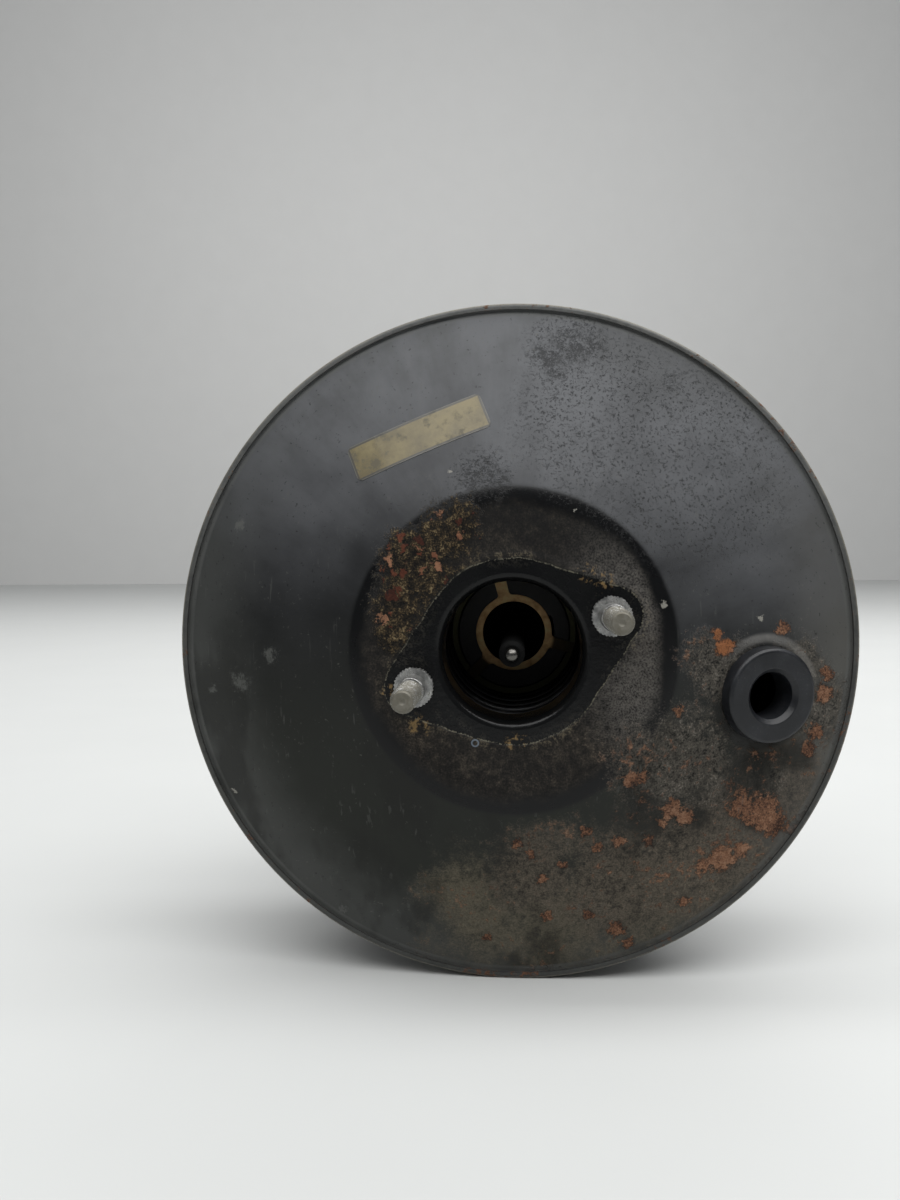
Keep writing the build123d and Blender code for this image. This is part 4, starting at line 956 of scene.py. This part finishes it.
def label_finish():
    """A blank aged label: a khaki field with stains, and a clear border that shows the paint below."""
    values = bpy.context.scene.booster_label
    finish = Finish("aged_blank_label", IOR=1.45)
    u, v, _ = finish.split(finish.add("ShaderNodeUVMap", {"uv_map": "face"}))
    cloud, fine = finish.noise(70, 5, 0.65), finish.noise(900, 4, 0.7)
    field = tuple(values.field)
    colour = finish.blend(finish.fade(cloud, 0.35, 0.66), tuple(0.6 * c for c in field), field)
    worn = finish.fade(finish.noise(160, 5, 0.7) + fine * 0.3, 0.66, 0.8)
    colour = finish.blend(worn * 0.6, colour, (0.07, 0.066, 0.052))
    inner = (0.5 - abs(u - 0.5)) * values.length
    inner = inner.min((0.5 - abs(v - 0.5)) * values.width)
    border = finish.fade(inner + (fine - 0.5) * (0.2 * MM), 0.75 * MM, 1.05 * MM, 1, 0)
    colour = finish.blend(border * 0.85, colour, (0.042, 0.042, 0.040))
    colour = finish.blend(finish.fade(inner, 0.12 * MM, 0.36 * MM, 0.7, 0), colour, (0.14, 0.135, 0.115))
    return finish.wear(Base_Color=colour, Roughness=cloud * 0.25 + worn * 0.2 + 0.25, Coat_Weight=0.08,
                       Normal=finish.bump(cloud * 0.5 + fine * 0.2, 0.05 * MM))


FINISHES = {}


def finish_of(name):
    """Makes each finish once."""
    makers = {
        "casing": casing_finish,
        "rear_casing": rear_paint_finish,
        "zinc": zinc_finish,
        "retainer": retainer_finish,
        "rubber": rubber_finish,
        "boot": lambda: rubber_finish("boot_rubber", (0.018, 0.018, 0.019), 0.05),
        "membrane": lambda: rubber_finish("membrane_rubber", (0.018, 0.019, 0.021), 0.0),
        "moulding": moulding_finish,
        "plain_steel": lambda: steel_finish("plain_steel", (0.43, 0.42, 0.40), 0.42),
        "yellow_zinc": lambda: steel_finish("yellow_zinc", (0.50, 0.40, 0.20), 0.36, 0.35, 300),
        # Near black: black oxide, darkened further as painted shade for a rod deep in the neck.
        "black_steel": lambda: steel_finish("black_oxide_and_shade", (0.003, 0.003, 0.003), 0.7, 0.4, 300, 0.0,
                                            (0.004, 0.004, 0.004), 1.15),
        "olive_plate": lambda: steel_finish("olive_passivate", (0.10, 0.10, 0.05), 0.45, 0.4, 200, 0.8),
        "polished": lambda: steel_finish("polished_steel", (0.13, 0.125, 0.115), 0.28, 0.15, 800, 1.0,
                                         (0.03, 0.028, 0.024)),
        "spring": lambda: steel_finish("spring_wire", (0.07, 0.07, 0.072), 0.38, 0.35, 500, 0.85),
        "felt": lambda: fibre_finish("pressed_felt", (0.13, 0.12, 0.10), (0.40, 0.38, 0.34), 1500),
        "foam": lambda: fibre_finish("open_foam", (0.02, 0.02, 0.02), (0.14, 0.14, 0.14), 900),
        "label": label_finish,
    }
    if name not in FINISHES:
        FINISHES[name] = makers[name]()
    return FINISHES[name]


# Stage

def set_camera():
    """Puts the camera where the fitted lens saw the casing's seat from."""
    back = -Vector(CAMERA_VIEW).normalized()
    right = Vector(CAMERA_UP).cross(back).normalized()
    up = back.cross(right)
    bpy.ops.object.camera_add(location=Vector((0, SEAT_Y, 0)) + Vector(CAMERA_OFFSET))
    camera = bpy.context.object
    camera.name = "Camera"
    camera.rotation_euler = Matrix((right, up, back)).transposed().to_euler()
    camera.data.lens = LENS
    camera.data.sensor_width = SENSOR_WIDTH
    camera.data.clip_start = 0.01
    bpy.context.scene.camera = camera


def pale_surface(name, size, place, turn, colour):
    """A plain painted floor or wall with a faint mottle."""
    deselect()
    bpy.ops.mesh.primitive_plane_add(size=size, location=place, rotation=turn)
    surface = bpy.context.object
    surface.name = name
    bpy.ops.object.transform_apply(location=True, rotation=True)
    finish = Finish("pale_" + name, Roughness=0.55)
    mottle = finish.blend(finish.noise(9, 4), tuple(0.95 * c for c in colour), colour)
    grain = finish.bump(finish.noise(300, 3), 0.1 * MM, 0.3)
    surface.data.materials.append(finish.wear(Base_Color=mottle, Normal=grain))


def soft_light(name, place, aim, width, height, power):
    """A rectangular area light that faces its aim."""
    bpy.ops.object.light_add(type="AREA", location=place)
    light = bpy.context.object
    light.name = name
    light.data.shape = "RECTANGLE"
    light.data.size = width
    light.data.size_y = height
    light.data.energy = power
    light.rotation_euler = (Vector(aim) - Vector(place)).to_track_quat("-Z", "Y").to_euler()


def set_sky(colour, strength):
    scene = bpy.context.scene
    scene.world = scene.world or bpy.data.worlds.new("World")
    scene.world.use_nodes = True
    sky = scene.world.node_tree.nodes["Background"]
    sky.inputs["Color"].default_value = (*colour, 1)
    sky.inputs["Strength"].default_value = strength


# Operators: the stage, then one for each piece or group of like pieces

class BOOSTER_OT_stage(Operator):
    """Sets the camera, the pale floor and wall, and the soft light"""
    bl_idname = "booster.stage"
    bl_label = "Stage"

    def execute(self, context):
        values = context.scene.booster_stage
        set_camera()
        floor_z = REAR_LOW.z
        pale_surface("floor", 18, (0, 8.0, floor_z), (0, 0, 0), values.floor)
        pale_surface("wall", 22, (0, 5.2, floor_z + 10.9), (math.pi / 2, 0, WALL_YAW), values.wall)
        booster, wall = (0, -0.05, 0), (0, 5.4, 0.3)
        power = values.key_power
        soft_light("key_light", (0.25, -0.85, 1.3), booster, 2.6, 0.9, power)
        soft_light("back_light", (0.5, 1.4, 1.5), booster, 1.6, 1.4, power * 0.26)
        soft_light("wall_light", (0.5, 0.3, 2.8), wall, 5.0, 2.0, power * 5.6)
        set_sky((0.93, 0.96, 1.0), values.sky)
        context.scene.view_settings.view_transform = "Standard"
        return {"FINISHED"}


class BOOSTER_OT_front_casing(Operator):
    """Models the front shell: neck, plateau, flank and rim flange, with the vacuum port's hole"""
    bl_idname = "booster.front_casing"
    bl_label = "Front casing"

    def execute(self, context):
        values = context.scene.booster_casing
        rim_y = SEAT_Y + (values.flank - values.plateau) * math.tan(FLANK_ANGLE)
        neck_y = SEAT_Y + 17 * MM
        casing = drawn(
            "front_casing",
            [(values.opening, neck_y), (values.opening, SEAT_Y), (values.plateau, SEAT_Y),
             (values.flank, rim_y), (FLANGE_RADIUS, rim_y)],
            [values.opening_edge, values.plateau_corner, 2 * MM],
            values.sheet, values.rounds, ((0.08, SEAT_Y + 10 * MM, 0), (0, -1, 0)),
        )
        bored(casing, context.scene.booster_grommet.groove + 0.2 * MM, PORT_PLACE, PORT_NORMAL, 12 * MM)
        smooth(casing)
        finished(casing, finish_of("casing"), "housing", "black_paint", "front_shell")
        return {"FINISHED"}


class BOOSTER_OT_rear_casing(Operator):
    """Models the rear shell: rolled lip, bead shelf, chamber wall, back and neck"""
    bl_idname = "booster.rear_casing"
    bl_label = "Rear casing"

    def execute(self, context):
        values = context.scene.booster_casing
        sheet, bead, shelf, lip, back = 1.2 * MM, 4 * MM, 5.7 * MM, 2.2 * MM, 60 * MM
        rim_y = SEAT_Y + (values.flank - values.plateau) * math.tan(FLANK_ANGLE)
        shelf_y = rim_y + 1.5 * MM + bead
        chamber = RIM_RADIUS - shelf
        fall = (chamber - back) * math.tan(BACK_ANGLE)
        casing = drawn(
            "rear_casing",
            [(RIM_RADIUS - lip, rim_y - sheet), (RIM_RADIUS, rim_y - sheet),
             (RIM_RADIUS, shelf_y + sheet), (chamber, shelf_y + sheet), (chamber, -fall), (back, 0),
             (NECK_RADIUS, 0), (NECK_RADIUS, REAR_HIGH.y)],
            [1.5 * MM, 1.5 * MM, 2 * MM, 16 * MM, 14 * MM, 3 * MM],
            sheet, values.rounds, ((0, -2 * MM, 0.09), (0, 1, 0)),
        )
        finished(casing, finish_of("rear_casing"), "housing", "black_paint", "rear_shell")
        return {"FINISHED"}


def stud_core(values):
    """A master cylinder stud without its thread, from the centred tip to the head behind the sheet."""
    root = values.thread_radius - values.thread_depth
    head_radius, head_height, tip_edge, step = 7 * MM, 2 * MM, 0.45 * MM, 0.3 * MM
    tip_y, head_y = STUD_LOW.y, STUD_HIGH.y
    shank_y = SEAT_Y - values.collar_height - values.shank_length
    return turned(
        "stud_core",
        [(0, tip_y + 0.7 * MM), (1.1 * MM, tip_y), (root - tip_edge, tip_y), (root, tip_y + tip_edge),
         (root, shank_y - 0.2 * MM), (values.shank_radius - step, shank_y - 0.2 * MM),
         (values.shank_radius, shank_y + step), (values.shank_radius, head_y - head_height),
         (head_radius, head_y - head_height), (head_radius, head_y), (0, head_y)],
        [0, 0.25 * MM, 0.15 * MM, 0, 0.15 * MM, 0.2 * MM],
    )


def toothed_collar(values):
    """The serrated collar round a master cylinder stud's foot."""
    deselect()
    bpy.ops.mesh.primitive_cylinder_add(
        vertices=values.teeth * 4, radius=values.collar_radius, depth=values.collar_height,
        location=(0, SEAT_Y - values.collar_height / 2, 0), rotation=(math.pi / 2, 0, 0))
    collar = bpy.context.object
    bpy.ops.object.transform_apply(location=True, rotation=True)
    edit()
    tooth = TURN / values.teeth
    pick(lambda co: math.atan2(co.z, co.x) % tooth > tooth / 2)
    bpy.ops.transform.resize(value=(0.95, 1, 0.95), center_override=(0, 0, 0))
    close_edit()
    modify(collar, "BEVEL", width=0.14 * MM, segments=2, limit_method="ANGLE",
           angle_limit=math.radians(50))
    return smooth(collar)


class BOOSTER_OT_front_studs(Operator):
    """Models the two master cylinder studs: serrated collar, shank, rolled thread and centred tip"""
    bl_idname = "booster.front_studs"
    bl_label = "Master cylinder studs"

    def execute(self, context):
        values = context.scene.booster_studs
        core = stud_core(values)
        shank_y = SEAT_Y - values.collar_height - values.shank_length
        thread = screw_thread("stud_thread", values.thread_radius, values.thread_depth, values.pitch,
                              shank_y - STUD_LOW.y - 0.3 * MM)
        placed(thread, Matrix.Translation((0, STUD_LOW.y + 0.2 * MM, 0)))
        stud = joined("master_cylinder_stud_1", core, thread, toothed_collar(values))
        (x, z), (x_other, z_other) = STUD_PLACES
        other = copied(stud, "master_cylinder_stud_2",
                       Matrix.Translation((x_other, 0, z_other)) @ Matrix.Rotation(0.7, 4, "Y"))
        placed(stud, Matrix.Translation((x, 0, z)))
        for piece in (stud, other):
            finished(piece, finish_of("zinc"), "housing", "zinc_plate", "master_cylinder_studs")
        return {"FINISHED"}


class BOOSTER_OT_bulkhead_studs(Operator):
    """Models the four bulkhead studs at the back, with rolled threads"""
    bl_idname = "booster.bulkhead_studs"
    bl_label = "Bulkhead studs"

    def execute(self, context):
        values = context.scene.booster_studs
        root = values.thread_radius - values.thread_depth
        head, head_height, shank, tip_edge = 6.5 * MM, 1.5 * MM, 4.6 * MM, 0.6 * MM
        head_y, tip_y = NEAR_STUD_LOW.y, NEAR_STUD_HIGH.y
        core = turned(
            "near_stud_core",
            [(0, head_y), (head, head_y), (head, head_y + head_height), (shank, head_y + head_height),
             (shank, 0), (root, 0.4 * MM), (root, tip_y - tip_edge), (root - tip_edge, tip_y), (0, tip_y)],
            [0.4 * MM, 0, 0, 0, 0, 0.2 * MM, 0.2 * MM],
        )
        thread = screw_thread("near_stud_thread", values.thread_radius, values.thread_depth, values.pitch,
                              tip_y - 1.2 * MM)
        placed(thread, Matrix.Translation((0, 0.8 * MM, 0)))
        first = joined("bulkhead_stud_1", core, thread)
        studs = [first]
        for number, (x, z) in enumerate(BULKHEAD_PLACES[1:], 2):
            studs.append(copied(first, f"bulkhead_stud_{number}",
                                Matrix.Translation((x, 0, z)) @ Matrix.Rotation(number, 4, "Y")))
        placed(first, Matrix.Translation((BULKHEAD_PLACES[0][0], 0, BULKHEAD_PLACES[0][1])))
        for stud in studs:
            finished(stud, finish_of("zinc"), "housing", "zinc_plate", "bulkhead_studs")
        return {"FINISHED"}


class BOOSTER_OT_vacuum_grommet(Operator):
    """Models the vacuum port's grommet: rounded head, groove for the sheet, and bore"""
    bl_idname = "booster.vacuum_grommet"
    bl_label = "Vacuum grommet"

    def execute(self, context):
        values = context.scene.booster_grommet
        sheet = context.scene.booster_casing.sheet
        inner, mouth, lip, step = sheet + 4.5 * MM, 1.6 * MM, 14.5 * MM, 0.1 * MM
        grommet = turned(
            "vacuum_port_grommet",
            [(values.bore, inner), (values.bore, mouth - values.height),
             (values.bore + mouth, -values.height), (values.radius - 0.3 * MM, -values.height),
             (values.radius, -1.2 * MM), (values.radius, -0.15 * MM), (values.groove, -step),
             (values.groove, sheet + step), (lip, sheet + step), (lip, inner - 1.5 * MM),
             (lip - 1.5 * MM, inner)],
            [0.5 * MM, 0.5 * MM, values.edge, 0.6 * MM, 0.2 * MM, 0.3 * MM, 0.3 * MM, 0.6 * MM, 0.6 * MM],
            96,
        )
        turn = Vector((0, -1, 0)).rotation_difference(PORT_NORMAL).to_matrix().to_4x4()
        placed(grommet, Matrix.Translation(PORT_PLACE) @ turn)
        finished(grommet, finish_of("rubber"), "housing", "black_rubber", "vacuum_grommet")
        return {"FINISHED"}


def label_film(values):
    """The label as a flat sheet with rounded corners, cut in strips so that it can follow the flank."""
    deselect()
    bpy.ops.mesh.primitive_plane_add(size=1)
    label = bpy.context.object
    label.name = "blank_label"
    label.scale = (values.length, values.width, 1)
    bpy.ops.object.transform_apply(scale=True)
    edit()
    bpy.ops.mesh.bevel(offset=values.corner, segments=6, affect="VERTICES")
    strips = 24
    for number in range(1, strips):
        bpy.ops.mesh.select_all(action="SELECT")
        bpy.ops.mesh.bisect(plane_co=((number / strips - 0.5) * values.length, 0, 0), plane_no=(1, 0, 0))
    bpy.ops.object.mode_set(mode="OBJECT")
    layer = label.data.uv_layers.new(name="face")
    for loop in label.data.loops:
        corner = label.data.vertices[loop.vertex_index].co
        layer.data[loop.index].uv = (corner.x / values.length + 0.5, corner.y / values.width + 0.5)
    return label


def label_place():
    """Where the label lies: on the flank's slope, with its long side rising to the right."""
    out = Vector((LABEL_PLACE.x, 0, LABEL_PLACE.z)).normalized()
    normal = out * math.sin(FLANK_ANGLE) + Vector((0, -1, 0)) * math.cos(FLANK_ANGLE)
    along = Vector((math.cos(LABEL_SLOPE), 0, math.sin(LABEL_SLOPE)))
    along = (along - normal * along.dot(normal)).normalized()
    axes = Matrix((along, normal.cross(along), normal)).transposed().to_4x4()
    return Matrix.Translation(LABEL_PLACE) @ axes


class BOOSTER_OT_label(Operator):
    """Lays a blank film label on the flank, with rounded corners"""
    bl_idname = "booster.label"
    bl_label = "Blank label"

    def execute(self, context):
        values = context.scene.booster_label
        label = placed(label_film(values), label_place())
        modify(label, "SHRINKWRAP", target=bpy.data.objects["front_casing"], offset=0.15 * MM,
               wrap_method="NEAREST_SURFACEPOINT", wrap_mode="ABOVE_SURFACE")
        modify(label, "SOLIDIFY", thickness=values.film, offset=-1)
        smooth(label, 40)
        finished(label, finish_of("label"), "housing", "black_paint")
        return {"FINISHED"}


class BOOSTER_OT_membrane(Operator):
    """Models the diaphragm's skin, with its clamped bead"""
    bl_idname = "booster.membrane"
    bl_label = "Diaphragm"

    def execute(self, context):
        skin = merged_copy("diaphragm", "diaphragm_skin")
        skin.data.materials.clear()
        skin.data.materials.append(finish_of("membrane"))
        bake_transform(skin)
        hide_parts("diaphragm")
        return {"FINISHED"}


class BOOSTER_OT_springs(Operator):
    """Models the return spring and the rod's spring"""
    bl_idname = "booster.springs"
    bl_label = "Springs"

    def execute(self, context):
        wire, turns = 1.9 * MM, 6
        spring = coil_spring("piston_return_spring", SPRING_HIGH.x - wire, wire, SPRING_LOW.y,
                             SPRING_HIGH.y, turns)
        finished(spring, finish_of("spring"), "housing", "spring_steel", "return_spring")
        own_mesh(spring)
        rod_spring = merged_copy("rod_return_spring", "rod_cone_spring")
        finished(rod_spring, finish_of("spring"), "power_piston", "spring_steel", "rod_return_spring")
        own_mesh(rod_spring)
        return {"FINISHED"}


class BOOSTER_OT_dust_boot(Operator):
    """Models the folded dust boot"""
    bl_idname = "booster.dust_boot"
    bl_label = "Dust boot"

    def execute(self, context):
        wall, slack, collar, folds = 1.4 * MM, 0.3 * MM, 5 * MM, 5
        front = NECK_RADIUS + slack + wall
        back = TAIL_RADIUS + slack + wall
        start, end = BOOT_LOW.y + collar, BOOT_HIGH.y - collar
        pitch = (end - start) / folds
        corners, rounds = [(front, BOOT_LOW.y), (front, start)], [0.8 * MM]
        for fold in range(folds):
            share = (fold + 0.5) / folds
            valley = front + (back - front) * share
            corners.append((valley + 4 * MM, start + pitch * (fold + 0.5)))
            corners.append((valley, start + pitch * (fold + 1)))
            rounds += [1.3 * MM, 1.1 * MM]
        corners[-1] = (back, end)
        corners.append((back, BOOT_HIGH.y))
        boot = drawn("folded_dust_boot", corners, rounds, wall, 96, ((0.03, 0.03, 0), (1, 0, 0)))
        finished(boot, finish_of("boot"), "housing", "black_rubber", "dust_boot")
        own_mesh(boot)
        return {"FINISHED"}


class BOOSTER_OT_rods(Operator):
    """Breaks the edges of the rods, nut, clevis, piston hub and retainer, and threads the input rod"""
    bl_idname = "booster.rods"
    bl_label = "Rods and clevis"

    def execute(self, context):
        pieces = (
            ("clevis", "pedal_clevis", 0.35, "yellow_zinc", "input_rod", "yellow_zinc"),
            ("lock_nut", "rod_lock_nut", 0.2, "yellow_zinc", "input_rod", "yellow_zinc"),
            ("input_rod", "pedal_rod", 0.0, "yellow_zinc", "input_rod", "yellow_zinc"),
            ("output_rod", "piston_rod", 0.3, "black_steel", "power_piston", "black_steel"),
            ("output_rod_tip", "piston_rod_tip", 0.0, "polished", "power_piston", "polished_steel"),
            ("pushrod_retainer", "retainer_ring", 0.15, "retainer", "power_piston", "yellow_zinc"),
            ("valve_body", "piston_hub", 0.3, "moulding", "power_piston", "dark_moulding"),
        )
        for node, name, bevel, finish, body, slot in pieces:
            finished(merged_copy(node, name, bevel * MM), finish_of(finish), body, slot, node)
        nut_low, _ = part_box("lock_nut")
        radius, depth, pitch, thread_y = 5.15 * MM, 0.5 * MM, 1.25 * MM, 72 * MM
        thread = screw_thread("pedal_rod_thread", radius, depth, pitch, nut_low.y - thread_y)
        placed(thread, Matrix.Translation((0, thread_y, 0)))
        finished(thread, finish_of("yellow_zinc"), "input_rod", "yellow_zinc")
        return {"FINISHED"}


class BOOSTER_OT_inner_finishes(Operator):
    """Finishes the CAD pieces that stay as they are"""
    bl_idname = "booster.inner_finishes"
    bl_label = "Inner pieces"

    def execute(self, context):
        finishes = {
            "stud_plate": "plain_steel", "bulkhead_plate": "plain_steel", "guide_bush": "moulding",
            "neck_seal": "rubber", "seal_retainer": "plain_steel", "diaphragm_plate": "olive_plate",
            "reaction_disc": "rubber", "stop_key": "plain_steel", "poppet_valve": "rubber",
            "poppet_retainer": "plain_steel", "poppet_spring": "spring", "air_filter": "felt",
            "silencer": "foam", "valve_plunger": "plain_steel", "rod_spring_seat": "plain_steel",
        }
        for node, finish in finishes.items():
            mesh = frame["nodes"][node].data
            mesh.materials.clear()
            mesh.materials.append(finish_of(finish))
        return {"FINISHED"}


class BOOSTER_PT_panel(Panel):
    """Lists the booster's pieces and their settings"""
    bl_idname = "BOOSTER_PT_panel"
    bl_label = "Vacuum brake booster"
    bl_space_type = "VIEW_3D"
    bl_region_type = "UI"
    bl_category = "Booster"

    def draw(self, context):
        for operator in OPERATORS:
            self.layout.operator(operator.bl_idname)
        for name, group in SETTINGS.items():
            box = self.layout.box()
            for key in group.__annotations__:
                box.prop(getattr(context.scene, name), key)


SETTINGS = {
    "booster_casing": CasingSettings,
    "booster_studs": StudSettings,
    "booster_grommet": GrommetSettings,
    "booster_label": LabelSettings,
    "booster_stage": StageSettings,
}
OPERATORS = (
    BOOSTER_OT_stage,
    BOOSTER_OT_front_casing,
    BOOSTER_OT_rear_casing,
    BOOSTER_OT_front_studs,
    BOOSTER_OT_bulkhead_studs,
    BOOSTER_OT_vacuum_grommet,
    BOOSTER_OT_label,
    BOOSTER_OT_membrane,
    BOOSTER_OT_springs,
    BOOSTER_OT_dust_boot,
    BOOSTER_OT_rods,
    BOOSTER_OT_inner_finishes,
)


def register():
    for kind in (*SETTINGS.values(), *OPERATORS, BOOSTER_PT_panel):
        bpy.utils.register_class(kind)
    for name, group in SETTINGS.items():
        setattr(bpy.types.Scene, name, PointerProperty(type=group))


def unregister():
    for name in SETTINGS:
        delattr(bpy.types.Scene, name)
    for kind in reversed((*SETTINGS.values(), *OPERATORS, BOOSTER_PT_panel)):
        bpy.utils.unregister_class(kind)


def main():
    register()
    for operator in OPERATORS:
        group, name = operator.bl_idname.split(".")
        getattr(getattr(bpy.ops, group), name)()
    deselect()


if __name__ == "__main__":
    main()
